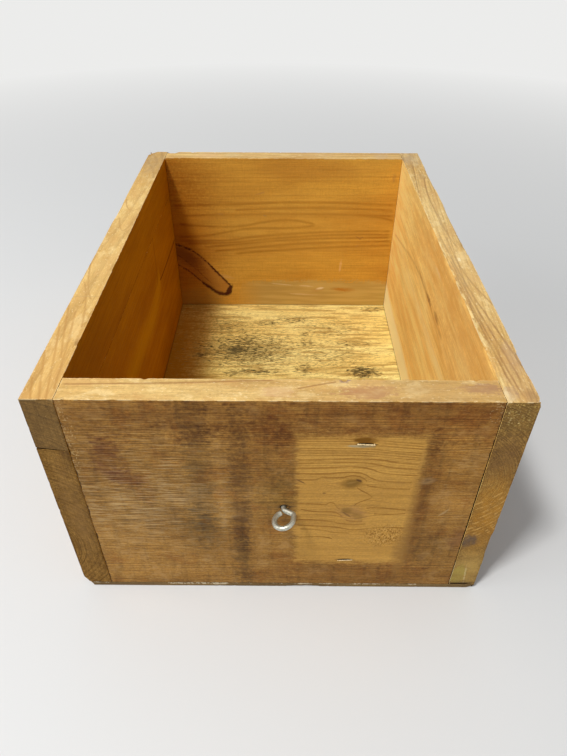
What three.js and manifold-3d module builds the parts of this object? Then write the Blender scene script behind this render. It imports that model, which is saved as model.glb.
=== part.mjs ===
// An open-topped wooden tool box: solid boards nailed together, a thin sheet nailed on as the
// bottom, and a screw eye in the front end as its pull.
// Millimetres, +Z up. The origin is the centre of the underside, X is the width and the end with
// the screw eye faces -Y.
import * as THREE from 'three';
import { mergeVertices } from 'three/addons/utils/BufferGeometryUtils.js';
import Module from 'manifold-3d';

const wasm = await Module();
wasm.setup();

// Box, outside sizes
const box_width = 330;
const box_length = 462;
const board_height = 206.2;
const board_thickness = 22;
const bottom_thickness = 5;
const joint_gap = 0.3;
const worn_edge_radius = 1.2;

// Left side, edge-jointed from two boards along a line that slants down towards the inside
const left_upper_height = 43.5;
const left_joint_slant = 3.5;

// Splinter broken off the lower left board's front bottom corner
const chip_width = 8;
const chip_height = 8;
const chip_depth = 12;

// Wire nails through the side boards into the end boards
const corner_nail = { length: 64, shank: 3, head: 7, head_thickness: 1.2, sunk: 0.3, point: 4.5 };
const corner_nail_height_shares = [0.18, 0.42, 0.66, 0.9];
const left_lower_nail_height_shares = [0.2, 0.5, 0.8];
const left_upper_nail_height_shares = [0.5];

// Wire nails through the bottom sheet up into the boards
const bottom_nail = { length: 32, shank: 2, head: 5, head_thickness: 1, sunk: 0.5, point: 3 };
const bottom_nail_side_shares = [-0.4, -0.2, 0, 0.2, 0.4];
const bottom_nail_end_shares = [-0.25, 0, 0.25];

const hole_clearance = 0.3;
const cut_overrun = 1;
const merge_distance = 0.0001;

// Screw eye, one bent wire with a thread rolled on its shank
const eye_wire = 3.9;
const eye_offset = 2.7;
const eye_height_share = 0.49;
const eye_shank_length = 18;
const eye_thread_pitch = 1.8;
const eye_thread_depth = 0.45;
const eye_point_length = 4;
const eye_tip_share = 0.25;
const eye_ring_radius = 7.2;
const eye_ring_reach = 11.4;
const eye_ring_shift = 0.35;
const eye_ring_stretch_share = 0.045;
const eye_ring_stretch_angle = THREE.MathUtils.degToRad(118);
const eye_neck_length = 0.7;
const eye_tuck_drop = 0.9;
const eye_tuck_in = 0.6;
const eye_roll = THREE.MathUtils.degToRad(10);
const eye_neck_bend_share = [0.07, 0.222];
const eye_kink_shares = [[0.39, -0.96], [0.71, -0.775], [0.985, -0.575]];
const eye_arc_start = THREE.MathUtils.degToRad(-8);
const eye_arc_end = THREE.MathUtils.degToRad(252);
const eye_tuck_start = THREE.MathUtils.degToRad(170);
const worn_mouth_radius = 3.4;
const worn_mouth_depth = 2.2;

// Staples that held a card on the front end
const staple_wire = 0.7;
const staple_crown = 12;
const staple_leg = 6;
const upper_staple = { across_share: 0.175, height_share: 0.815, lift: 0.9, tilt: 9, spin: -3 };
const lower_staple = { across_share: 0.16, height_share: 0.163, lift: 0, tilt: 0, spin: 4 };

// Facets of the round pieces and worn edges
const edge_segments = 3;
const nail_sides = 10;
const wire_sides = 10;
const ring_steps = 54;
const ring_arc_points = 16;
const thread_steps_per_turn = 4;

const half_width = box_width / 2;
const half_length = box_length / 2;
const boards_bottom = bottom_thickness + joint_gap;
const boards_top = boards_bottom + board_height;
const side_inner = half_width - board_thickness;
const end_inner = half_length - board_thickness;
const side_middle = half_width - board_thickness / 2;
const end_middle = half_length - board_thickness / 2;
const end_board_half = side_inner - joint_gap;
const eye_height = boards_bottom + board_height * eye_height_share;

// Directions that an outline's x, its y and its extrusion take in the box
const along_length = [[1, 0, 0], [0, 0, 1], [0, -1, 0]];
const along_width = [[0, 1, 0], [0, 0, 1], [1, 0, 0]];

const finishes = {
  end_wood: new THREE.MeshStandardMaterial({ color: 0x8f6838, roughness: 0.78, metalness: 0 }),
  side_wood: new THREE.MeshStandardMaterial({ color: 0xb98843, roughness: 0.75, metalness: 0 }),
  grey_wood: new THREE.MeshStandardMaterial({ color: 0x7d6238, roughness: 0.82, metalness: 0 }),
  sheet_wood: new THREE.MeshStandardMaterial({ color: 0xcfae62, roughness: 0.8, metalness: 0 }),
  zinc: new THREE.MeshStandardMaterial({ color: 0xb9b9ae, roughness: 0.35, metalness: 0.9 }),
  bright_wire: new THREE.MeshStandardMaterial({ color: 0xc9c2ae, roughness: 0.3, metalness: 0.9 }),
  rusty_steel: new THREE.MeshStandardMaterial({ color: 0x6a4a34, roughness: 0.7, metalness: 0.6 }),
};

// A closed manifold solid made of a three.js geometry
function solid(geometry) {
  const bare = geometry.clone();
  bare.deleteAttribute('normal');
  bare.deleteAttribute('uv');
  const merged = mergeVertices(bare, merge_distance);
  const corners = merged.index.array;
  const triangles = [];
  for (let i = 0; i < corners.length; i += 3) {
    const [a, b, c] = [corners[i], corners[i + 1], corners[i + 2]];
    if (a !== b && b !== c && c !== a) triangles.push(a, b, c);
  }
  const vertices = new Float32Array(merged.attributes.position.array);
  const mesh = new wasm.Mesh({
    numProp: 3,
    vertProperties: vertices,
    triVerts: new Uint32Array(triangles),
  });
  return new wasm.Manifold(mesh);
}

function geometryOf(manifold) {
  const { vertProperties, triVerts } = manifold.getMesh();
  const geometry = new THREE.BufferGeometry();
  geometry.setAttribute('position', new THREE.BufferAttribute(vertProperties, 3));
  geometry.setIndex(new THREE.BufferAttribute(triVerts, 1));
  geometry.computeVertexNormals();
  return geometry;
}

// Outline with each corner eased to its own radius; corners are [x, y, radius] counter-clockwise
function easedOutline(corners) {
  const shape = new THREE.Shape();
  corners.forEach(([x, y, radius], i) => {
    const here = new THREE.Vector2(x, y);
    const before = new THREE.Vector2(...corners.at(i - 1)).sub(here).normalize();
    const after = new THREE.Vector2(...corners[(i + 1) % corners.length]).sub(here).normalize();
    const start = here.clone().addScaledVector(before, radius);
    const end = here.clone().addScaledVector(after, radius);
    if (i === 0) shape.moveTo(start.x, start.y);
    else shape.lineTo(start.x, start.y);
    if (radius > 0) shape.quadraticCurveTo(x, y, end.x, end.y);
  });
  shape.closePath();
  return shape;
}

// Board of one outline, centred on its run along the directions given
function board(corners, run, directions) {
  const geometry = new THREE.ExtrudeGeometry(easedOutline(corners), {
    depth: run,
    bevelEnabled: false,
    curveSegments: edge_segments,
  });
  geometry.translate(0, 0, -run / 2);
  const [x, y, z] = directions.map((axis) => new THREE.Vector3(...axis));
  geometry.applyMatrix4(new THREE.Matrix4().makeBasis(x, y, z));
  return geometry;
}

// Geometry with its own -Y turned to a direction and its origin moved to a point
function driven(geometry, point, direction) {
  const down = new THREE.Vector3(0, -1, 0);
  const turn = new THREE.Quaternion().setFromUnitVectors(down, direction);
  const place = new THREE.Matrix4().makeRotationFromQuaternion(turn).setPosition(point);
  return geometry.clone().applyMatrix4(place);
}

// Nail with its head's face at y = -sunk and its point down -Y
function nailShape(nail) {
  const face = -nail.sunk;
  const neck = face - nail.head_thickness;
  const taper = face - nail.length + nail.point;
  const profile = [
    [0, face - nail.length],
    [nail.shank / 2, taper],
    [nail.shank / 2, neck],
    [nail.head / 2, neck],
    [nail.head / 2, face],
    [0, face],
  ];
  return lathe(profile, nail_sides);
}

// Hole that a nail leaves: a pocket for its head, then a bore for its shank
function nailHole(nail) {
  const pocket = nail.head / 2 + hole_clearance;
  const bore = nail.shank / 2 + hole_clearance;
  const floor = -nail.sunk - nail.head_thickness - hole_clearance;
  const end = -nail.sunk - nail.length - hole_clearance;
  const profile = [[0, end], [bore, end], [bore, floor], [pocket, floor], [pocket, cut_overrun]];
  return lathe([...profile, [0, cut_overrun]], nail_sides);
}

function lathe(profile, sides) {
  const points = profile.map(([radius, height]) => new THREE.Vector2(radius, height));
  return new THREE.LatheGeometry(points, sides);
}

// Where the wire nails go: the point on the outer face and the way each is driven
function cornerNails() {
  const nails = [];
  const lower_height = board_height - left_upper_height - left_joint_slant / 2;
  const upper_base = boards_top - left_upper_height;
  const right_heights = corner_nail_height_shares.map((s) => boards_bottom + s * board_height);
  const left_heights = [
    ...left_lower_nail_height_shares.map((s) => boards_bottom + s * lower_height),
    ...left_upper_nail_height_shares.map((s) => upper_base + s * left_upper_height),
  ];
  const sides = [['left', -1, left_heights], ['right', 1, right_heights]];
  for (const [end, end_sign] of [['front', -1], ['back', 1]]) {
    for (const [side, side_sign, heights] of sides) {
      heights.forEach((height, i) => {
        nails.push({
          name: `corner_nail_${end}_${side}_${i + 1}`,
          point: new THREE.Vector3(side_sign * half_width, end_sign * end_middle, height),
          direction: new THREE.Vector3(-side_sign, 0, 0),
        });
      });
    }
  }
  return nails;
}

function bottomNails() {
  const nails = [];
  const up = new THREE.Vector3(0, 0, 1);
  for (const [side, sign] of [['left', -1], ['right', 1]]) {
    bottom_nail_side_shares.forEach((share, i) => {
      const point = new THREE.Vector3(sign * side_middle, share * box_length, 0);
      nails.push({ name: `bottom_nail_${side}_${i + 1}`, point, direction: up });
    });
  }
  for (const [end, sign] of [['front', -1], ['back', 1]]) {
    bottom_nail_end_shares.forEach((share, i) => {
      const point = new THREE.Vector3(share * box_width, sign * end_middle, 0);
      nails.push({ name: `bottom_nail_${end}_${i + 1}`, point, direction: up });
    });
  }
  return nails;
}

// Threaded shank down -Y from the origin: rings of points whose radius follows the thread
function threadedShank() {
  const steps = Math.round((eye_shank_length / eye_thread_pitch) * thread_steps_per_turn);
  const positions = [];
  const triangles = [];
  for (let ring = 0; ring <= steps; ring += 1) {
    const depth = (ring / steps) * eye_shank_length;
    const from_point = eye_shank_length - depth;
    const swell = Math.min(1, from_point / eye_point_length);
    const taper = THREE.MathUtils.lerp(eye_tip_share, 1, swell);
    for (let side = 0; side < wire_sides; side += 1) {
      const turn = side / wire_sides;
      const phase = (depth / eye_thread_pitch + turn) % 1;
      const groove = 1 - Math.abs(2 * phase - 1);
      const radius = taper * (eye_wire / 2 - eye_thread_depth * groove);
      const angle = turn * 2 * Math.PI;
      positions.push(radius * Math.cos(angle), -depth, radius * Math.sin(angle));
    }
  }
  const index = (ring, side) => ring * wire_sides + (side % wire_sides);
  for (let ring = 0; ring < steps; ring += 1) {
    for (let side = 0; side < wire_sides; side += 1) {
      const [a, b] = [index(ring, side), index(ring, side + 1)];
      const [c, d] = [index(ring + 1, side), index(ring + 1, side + 1)];
      triangles.push(a, b, c, b, d, c);
    }
  }
  for (let side = 1; side < wire_sides - 1; side += 1) {
    triangles.push(index(0, 0), index(0, side + 1), index(0, side));
    triangles.push(index(steps, 0), index(steps, side), index(steps, side + 1));
  }
  const geometry = new THREE.BufferGeometry();
  geometry.setAttribute('position', new THREE.Float32BufferAttribute(positions, 3));
  geometry.setIndex(triangles);
  return geometry;
}

// Neck and ring: straight out of the wood, bent to the right, a kink, then round the front and
// left, slightly oval, to a free end that stops just short of the neck. Driving the eye into the
// front end turns it round, so what ends up on the right is made on -X.
function ringWire() {
  const centre = eye_ring_reach;
  const radius = eye_ring_radius;
  const at = (right, out, drop) => new THREE.Vector3(-right, out, -drop);
  const points = [
    at(0, -eye_thread_depth, 0),
    at(0, eye_neck_length, 0),
    at(eye_neck_bend_share[0] * radius, eye_neck_bend_share[1] * centre, 0),
  ];
  for (const [right, out] of eye_kink_shares) {
    points.push(at(eye_ring_shift + right * radius, centre + out * radius, 0));
  }
  for (let i = 0; i <= ring_arc_points; i += 1) {
    const angle = THREE.MathUtils.lerp(eye_arc_start, eye_arc_end, i / ring_arc_points);
    const tuck = THREE.MathUtils.smoothstep(angle, eye_tuck_start, eye_arc_end);
    const stretch = eye_ring_stretch_share * Math.cos(2 * (angle - eye_ring_stretch_angle));
    const oval = radius * (1 + stretch);
    const out = centre + oval * Math.sin(angle) - tuck * eye_tuck_in;
    points.push(at(eye_ring_shift + oval * Math.cos(angle), out, tuck * eye_tuck_drop));
  }
  const section = new THREE.Shape().absarc(0, 0, eye_wire / 2, 0, 2 * Math.PI);
  return new THREE.ExtrudeGeometry(section, {
    extrudePath: new THREE.CatmullRomCurve3(points, false, 'centripetal'),
    steps: ring_steps,
    bevelEnabled: false,
    curveSegments: wire_sides / 2,
  });
}

// Staple with its crown's outer face at y = 0, its legs down -Y, and `grown` added all round
function stapleShape(grown) {
  const half = staple_crown / 2 + grown;
  const inside = staple_crown / 2 - staple_wire - grown;
  const shape = new THREE.Shape();
  shape.moveTo(-half, -staple_leg - grown);
  shape.lineTo(-inside, -staple_leg - grown);
  shape.lineTo(-inside, -staple_wire - grown);
  shape.lineTo(inside, -staple_wire - grown);
  shape.lineTo(inside, -staple_leg - grown);
  shape.lineTo(half, -staple_leg - grown);
  shape.lineTo(half, grown);
  shape.lineTo(-half, grown);
  shape.closePath();
  const depth = staple_wire + 2 * grown;
  const geometry = new THREE.ExtrudeGeometry(shape, { depth, bevelEnabled: false });
  geometry.translate(0, 0, -depth / 2);
  return geometry;
}

// A staple seated in the front end: its crown lies on the wood, raised by its lift
function seatedStaple(staple, grown) {
  const geometry = stapleShape(grown);
  const outward = new THREE.Vector3(0, -1, 0);
  const turn = new THREE.Quaternion().setFromAxisAngle(
    outward,
    THREE.MathUtils.degToRad(staple.spin),
  );
  const tilt = new THREE.Matrix4().makeRotationX(THREE.MathUtils.degToRad(staple.tilt));
  const flip = new THREE.Matrix4().makeRotationZ(Math.PI);
  const crown_out = half_length + staple.lift;
  const place = new THREE.Matrix4().makeRotationFromQuaternion(turn);
  place.setPosition(
    staple.across_share * box_width,
    -crown_out,
    boards_bottom + staple.height_share * board_height,
  );
  return geometry.applyMatrix4(flip).applyMatrix4(tilt).applyMatrix4(place);
}

const nails = [
  ...cornerNails().map((nail) => ({ ...nail, kind: corner_nail })),
  ...bottomNails().map((nail) => ({ ...nail, kind: bottom_nail })),
];
const eye_point = new THREE.Vector3(eye_offset, -half_length, eye_height);
const into_front = new THREE.Vector3(0, 1, 0);

// Everything that passes through wood, grown by its clearance
function holes() {
  const cutters = nails.map((nail) => driven(nailHole(nail.kind), nail.point, nail.direction));
  const bore = eye_wire / 2 + hole_clearance;
  const eye_hole = [
    [0, -eye_shank_length - hole_clearance],
    [bore, -eye_shank_length - hole_clearance],
    [bore, -worn_mouth_depth],
    [worn_mouth_radius, 0],
    [worn_mouth_radius, cut_overrun],
    [0, cut_overrun],
  ];
  cutters.push(driven(lathe(eye_hole, 2 * wire_sides), eye_point, into_front));
  cutters.push(seatedStaple(upper_staple, hole_clearance));
  cutters.push(seatedStaple(lower_staple, hole_clearance));
  return cutters.map(solid).reduce((all, cutter) => all.add(cutter));
}

// Corner of a board broken off by one flat break; lengths are measured in from that corner
function chip(corner, lengths) {
  const reach = lengths.reduce((sum, length) => sum + cut_overrun / length, 1);
  const apex = corner.clone().subScalar(cut_overrun);
  const [x, y, z] = lengths.map((length) => length * reach);
  const geometry = new THREE.BufferGeometry();
  const points = [0, 0, 0, x, 0, 0, 0, y, 0, 0, 0, z];
  geometry.setAttribute('position', new THREE.Float32BufferAttribute(points, 3));
  geometry.setIndex([0, 2, 1, 0, 1, 3, 0, 3, 2, 1, 2, 3]);
  return geometry.translate(apex.x, apex.y, apex.z);
}

const edge = worn_edge_radius;
const boards = {
  right_side_board: board([
    [side_inner, boards_bottom, 0],
    [half_width, boards_bottom, 0],
    [half_width, boards_top, edge],
    [side_inner, boards_top, edge],
  ], box_length, along_length),
  left_side_upper_board: board([
    [-half_width, boards_top - left_upper_height, 0],
    [-side_inner, boards_top - left_upper_height - left_joint_slant, 0],
    [-side_inner, boards_top, edge],
    [-half_width, boards_top, edge],
  ], box_length, along_length),
  left_side_lower_board: board([
    [-half_width, boards_bottom, 0],
    [-side_inner, boards_bottom, 0],
    [-side_inner, boards_top - left_upper_height - left_joint_slant - joint_gap, 0],
    [-half_width, boards_top - left_upper_height - joint_gap, 0],
  ], box_length, along_length),
  front_board: board([
    [-half_length, boards_bottom, 0],
    [-end_inner, boards_bottom, 0],
    [-end_inner, boards_top, edge],
    [-half_length, boards_top, edge],
  ], 2 * end_board_half, along_width),
  back_board: board([
    [end_inner, boards_bottom, 0],
    [half_length, boards_bottom, 0],
    [half_length, boards_top, edge],
    [end_inner, boards_top, edge],
  ], 2 * end_board_half, along_width),
  bottom_panel: board([
    [-half_width, 0, 0],
    [half_width, 0, 0],
    [half_width, bottom_thickness, 0],
    [-half_width, bottom_thickness, 0],
  ], box_length, along_length),
};

const board_finishes = {
  right_side_board: finishes.side_wood,
  left_side_upper_board: finishes.grey_wood,
  left_side_lower_board: finishes.side_wood,
  front_board: finishes.end_wood,
  back_board: finishes.side_wood,
  bottom_panel: finishes.sheet_wood,
};

const group = new THREE.Group();

function addPiece(name, geometry, material) {
  const mesh = new THREE.Mesh(geometry, material);
  mesh.name = name;
  group.add(mesh);
}

const drilled = holes();
const broken_corner = chip(
  new THREE.Vector3(-half_width, -half_length, boards_bottom),
  [chip_width, chip_depth, chip_height],
);
for (const [name, geometry] of Object.entries(boards)) {
  let piece = solid(geometry).subtract(drilled);
  if (name === 'left_side_lower_board') piece = piece.subtract(solid(broken_corner));
  addPiece(name, geometryOf(piece), board_finishes[name]);
}

const eye = geometryOf(solid(threadedShank()).add(solid(ringWire())));
const roll = new THREE.Matrix4().makeRotationY(eye_roll);
addPiece('screw_eye', driven(eye.applyMatrix4(roll), eye_point, into_front), finishes.zinc);

addPiece('label_staple_upper', seatedStaple(upper_staple, 0), finishes.bright_wire);
addPiece('label_staple_lower', seatedStaple(lower_staple, 0), finishes.bright_wire);

for (const nail of nails) {
  const shape = driven(nailShape(nail.kind), nail.point, nail.direction);
  addPiece(nail.name, shape, finishes.rusty_steel);
}

export default group;
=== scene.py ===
import math

import bmesh
import bpy
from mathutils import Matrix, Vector, noise


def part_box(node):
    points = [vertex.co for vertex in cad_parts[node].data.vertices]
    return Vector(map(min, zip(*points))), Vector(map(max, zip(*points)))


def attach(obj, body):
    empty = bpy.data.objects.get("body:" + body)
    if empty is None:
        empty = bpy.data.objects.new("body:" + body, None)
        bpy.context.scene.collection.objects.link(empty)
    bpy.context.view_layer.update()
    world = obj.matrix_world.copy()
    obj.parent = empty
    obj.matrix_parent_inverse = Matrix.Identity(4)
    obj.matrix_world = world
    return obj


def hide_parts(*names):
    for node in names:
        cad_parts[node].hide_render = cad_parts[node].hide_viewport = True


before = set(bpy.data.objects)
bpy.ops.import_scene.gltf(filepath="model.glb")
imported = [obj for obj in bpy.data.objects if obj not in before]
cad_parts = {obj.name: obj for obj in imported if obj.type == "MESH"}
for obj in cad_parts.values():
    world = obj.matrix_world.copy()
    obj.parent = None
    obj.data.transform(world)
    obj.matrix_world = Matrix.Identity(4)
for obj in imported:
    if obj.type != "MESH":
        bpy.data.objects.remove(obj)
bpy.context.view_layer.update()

# Camera: it stands where the photograph was taken from, half a metre in front of the box and
# 0.46 m up, and looks down into it through a wide lens.
camera_place = (0.0030, -0.5083, 0.4574)
camera_turn = (50.67, -0.20, 0.32)
camera_lens = 28.1

bpy.ops.object.camera_add(
    location=camera_place,
    rotation=[math.radians(angle) for angle in camera_turn],
)
camera = bpy.context.active_object
camera.name = "camera"
camera.data.sensor_width = 36
camera.data.lens = camera_lens
camera.data.clip_start = 0.01
bpy.context.scene.camera = camera
bpy.context.scene.view_settings.view_transform = "Standard"

# Light: one soft lamp high up on the left and a little in front, a broad weak window on the
# left, and an even pale room.
lamp_place = (-0.60, -0.80, 1.95)
lamp_size = 0.28
lamp_power = 29
window_place = (-2.0, -0.5, 1.3)
window_size = 1.6
window_power = 16
room_colour = (0.95, 0.97, 1.0, 1)
room_strength = 0.36
backdrop_colour = (0.84, 0.84, 0.83, 1)


def soft_light(name, place, size, power):
    """A square studio light that faces the middle of the box."""
    aim = Vector((0, 0, 0.1)) - Vector(place)
    bpy.ops.object.light_add(type="AREA", location=place)
    light = bpy.context.active_object
    light.name = name
    light.rotation_euler = aim.to_track_quat("-Z", "Y").to_euler()
    light.data.size = size
    light.data.energy = power


def new_node(tree, kind, inputs=(), **settings):
    """Adds a shader node with some of its named inputs and its settings given."""
    node = tree.nodes.new("ShaderNode" + kind)
    for name, value in dict(inputs).items():
        node.inputs[name].default_value = value
    for setting, value in settings.items():
        setattr(node, setting, value)
    return node


def wire(tree, *pairs):
    """Links sockets of a node tree, each pair from an output to an input."""
    for leaves, enters in pairs:
        tree.links.new(leaves, enters)


soft_light("lamp", lamp_place, lamp_size, lamp_power)
soft_light("window", window_place, window_size, window_power)

room = bpy.data.worlds.new("room")
bpy.context.scene.world = room
room.use_nodes = True
tree = room.node_tree
room_light = tree.nodes["Background"]
room_light.inputs["Color"].default_value = room_colour
room_light.inputs["Strength"].default_value = room_strength
seen_room = new_node(tree, "Background", {"Color": backdrop_colour})
ray = new_node(tree, "LightPath")
either_ray = new_node(tree, "Math", operation="MAXIMUM")
pick = new_node(tree, "MixShader")
wire(
    tree,
    (ray.outputs["Is Camera Ray"], either_ray.inputs[0]),
    (ray.outputs["Is Glossy Ray"], either_ray.inputs[1]),
    (either_ray.outputs[0], pick.inputs[0]),
    (room_light.outputs[0], pick.inputs[1]),
    (seen_room.outputs[0], pick.inputs[2]),
    (pick.outputs[0], tree.nodes["World Output"].inputs["Surface"]),
)

# Floor: a plain pale sheet, lightly mottled. Far from the box it fades into the pale backdrop.
floor_size = 12
floor_pale = (0.76, 0.765, 0.76, 1)
floor_dull = (0.71, 0.71, 0.70, 1)
floor_mottle = 6
floor_roughness = 0.6
glow_starts = 0.5
glow_full = 1.8

bpy.ops.object.select_all(action="DESELECT")
bpy.ops.mesh.primitive_plane_add(size=floor_size)
floor = bpy.context.active_object
floor.name = "floor"
floor_finish = bpy.data.materials.new("pale_floor")
floor_finish.use_nodes = True
tree = floor_finish.node_tree
mottle = new_node(tree, "TexNoise", {"Scale": floor_mottle})
mottled = new_node(tree, "Mix", data_type="RGBA")
mottled.inputs[6].default_value = floor_pale
mottled.inputs[7].default_value = floor_dull
floor_shader = tree.nodes["Principled BSDF"]
floor_shader.inputs["Roughness"].default_value = floor_roughness
far_glow = new_node(tree, "Emission", {"Color": backdrop_colour})
place = new_node(tree, "TexCoord")
reach = new_node(tree, "VectorMath", operation="LENGTH")
far_share = new_node(tree, "MapRange", {"From Min": glow_starts, "From Max": glow_full})
ray = new_node(tree, "LightPath")
seen_share = new_node(tree, "Math", operation="MULTIPLY")
pick = new_node(tree, "MixShader")
wire(
    tree,
    (mottle.outputs["Fac"], mottled.inputs[0]),
    (mottled.outputs[2], floor_shader.inputs["Base Color"]),
    (place.outputs["Object"], reach.inputs[0]),
    (reach.outputs["Value"], far_share.inputs["Value"]),
    (far_share.outputs[0], seen_share.inputs[0]),
    (ray.outputs["Is Camera Ray"], seen_share.inputs[1]),
    (seen_share.outputs[0], pick.inputs[0]),
    (floor_shader.outputs[0], pick.inputs[1]),
    (far_glow.outputs[0], pick.inputs[2]),
    (pick.outputs[0], tree.nodes["Material Output"].inputs["Surface"]),
)
floor.data.materials.append(floor_finish)

# Front board: the end board that faces the viewer. Old softwood with fine level grain, brown with
# age and stained in drips. A card stapled to it kept a rectangle pale, with two knots in it. It
# stands between the side boards, nailed through them, and a screw eye is driven into its middle.
arris = 0.00035
arris_reach = 0.0012
arris_ease = 0.00006
arris_ragged = 0.0006
joined_share = 0.3
face_sway = 0.0003
crisp_angle = math.radians(14)
mm = 0.001
inner_x = 143
inner_y = 209
sheet_top = 5
box_top = 211.5


def take_up(piece):
    """Selects one piece alone."""
    bpy.ops.object.select_all(action="DESELECT")
    piece.select_set(True)
    bpy.context.view_layer.objects.active = piece


def settle():
    """Puts the place, turn and size of the active piece into its mesh."""
    bpy.ops.object.transform_apply(location=True, rotation=True, scale=True)
    return bpy.context.active_object


def sawn_board(name, low, high, cells):
    """A board as it leaves the saw: a box with eased arrises, its faces cut into small squares."""
    bpy.ops.object.select_all(action="DESELECT")
    middle = [(a + b) / 2 for a, b in zip(low, high)]
    size = [b - a for a, b in zip(low, high)]
    bpy.ops.mesh.primitive_cube_add(size=1, location=middle, scale=size)
    board = settle()
    board.name = name
    bpy.ops.object.mode_set(mode="EDIT")
    bpy.ops.mesh.select_mode(type="EDGE")
    bpy.ops.mesh.select_all(action="SELECT")
    bpy.ops.mesh.bevel(offset=arris, segments=2, affect="EDGES")
    for axis, cell in enumerate(cells):
        longest = size[axis]
        while longest > 1.5 * cell:
            cuts = min(60, math.ceil(longest / cell) - 1)
            bpy.ops.mesh.select_all(action="DESELECT")
            mesh = bmesh.from_edit_mesh(board.data)
            for edge in mesh.edges:
                run = edge.verts[0].co - edge.verts[1].co
                edge.select_set(abs(run[axis]) > 1.2 * cell)
            bmesh.update_edit_mesh(board.data)
            bpy.ops.mesh.subdivide(number_cuts=cuts)
            longest = longest / (cuts + 1)
    bpy.ops.object.mode_set(mode="OBJECT")
    return board


def crisp(piece, angle=crisp_angle):
    """Shades faces that meet at an arris apart, and lets the rest run smooth."""
    take_up(piece)
    bpy.ops.object.shade_smooth_by_angle(angle=angle)


def worn_board(name, low, high, cells, rag=1.0, knocks=()):
    """A sawn board after years of use: ragged arrises, faces a little out of flat, and knocks.

    Arrises that lie against another board wear less. A knock is its place, how far it reaches
    along each axis, and its depth, in mm.
    """
    board = sawn_board(name, low, high, cells)
    for vertex in board.data.vertices:
        here = vertex.co.copy()
        spot = here / mm
        at_corner = abs(abs(spot.x) - inner_x) < 2 and abs(spot.y) > inner_y - 0.5
        worn_share = rag * (joined_share if at_corner or spot.z < sheet_top + 2.5 else 1)
        sides = []
        for axis in range(3):
            from_low, from_high = here[axis] - low[axis], high[axis] - here[axis]
            inward = 1 if from_low < from_high else -1
            sides.append((min(from_low, from_high), axis, inward))
        sides.sort()
        broad = max(0, noise.noise(here * 60))
        chips = max(0, noise.noise(here * 480 + Vector((3, 1, 7))) - 0.25) * 2.4
        loss = arris_ease + worn_share * arris_ragged * (0.25 * broad + chips)
        push = Vector((0, 0, 0))
        for nearest, (_, axis, inward) in enumerate(sides):
            closeness = max(0, 1 - sides[max(1, nearest)][0] / arris_reach)
            push[axis] += inward * loss * closeness
        face_axis, face_inward = sides[0][1], sides[0][2]
        push[face_axis] += face_inward * face_sway * (0.5 + 0.5 * noise.noise(here * 14))
        for place, reach, depth in knocks:
            off = [(spot[axis] - place[axis]) / reach[axis] for axis in range(3)]
            nearness = 1 - Vector(off).length + 0.35 * noise.noise(here * 420)
            if nearness > 0:
                bite = 0.0007 * depth * min(1, 2 * nearness)
                for _, axis, inward in sides[:2]:
                    push[axis] += inward * bite
        vertex.co = here + push
    crisp(board)
    return board


def drill(board, cutters):
    """Cuts closed shapes that don't touch each other out of a board, and clears them away."""
    bpy.ops.object.select_all(action="DESELECT")
    for cutter in cutters:
        cutter.select_set(True)
    bpy.context.view_layer.objects.active = cutters[0]
    if len(cutters) > 1:
        bpy.ops.object.join()
    tool = bpy.context.active_object
    cut = board.modifiers.new("holes", "BOOLEAN")
    cut.operation = "DIFFERENCE"
    cut.solver = "EXACT"
    cut.object = tool
    take_up(board)
    bpy.ops.object.modifier_apply(modifier=cut.name)
    bpy.data.objects.remove(tool)
    crisp(board)


def peg(place, inward, radius, depth, ragged=0.0, sides=20):
    """Closed round cutter that starts 2 mm outside a face and goes in to its depth."""
    outside = 0.002
    way = Vector(inward)
    middle = Vector(place) + way * (depth - outside) / 2
    turn = way.to_track_quat("Z", "Y").to_euler()
    bpy.ops.object.select_all(action="DESELECT")
    bpy.ops.mesh.primitive_cylinder_add(
        vertices=sides, radius=radius, depth=depth + outside, location=middle, rotation=turn
    )
    cutter = settle()
    for vertex in cutter.data.vertices:
        out = vertex.co - middle
        out -= way * out.dot(way)
        vertex.co += out * ragged * noise.noise(vertex.co * 900)
    return cutter


def spread(axes, first, second):
    """A place or size that is given along two axes, as x, y and z."""
    given = dict(zip(axes, (first, second)))
    return [given.get(axis, 0) for axis in "xyz"]


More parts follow.
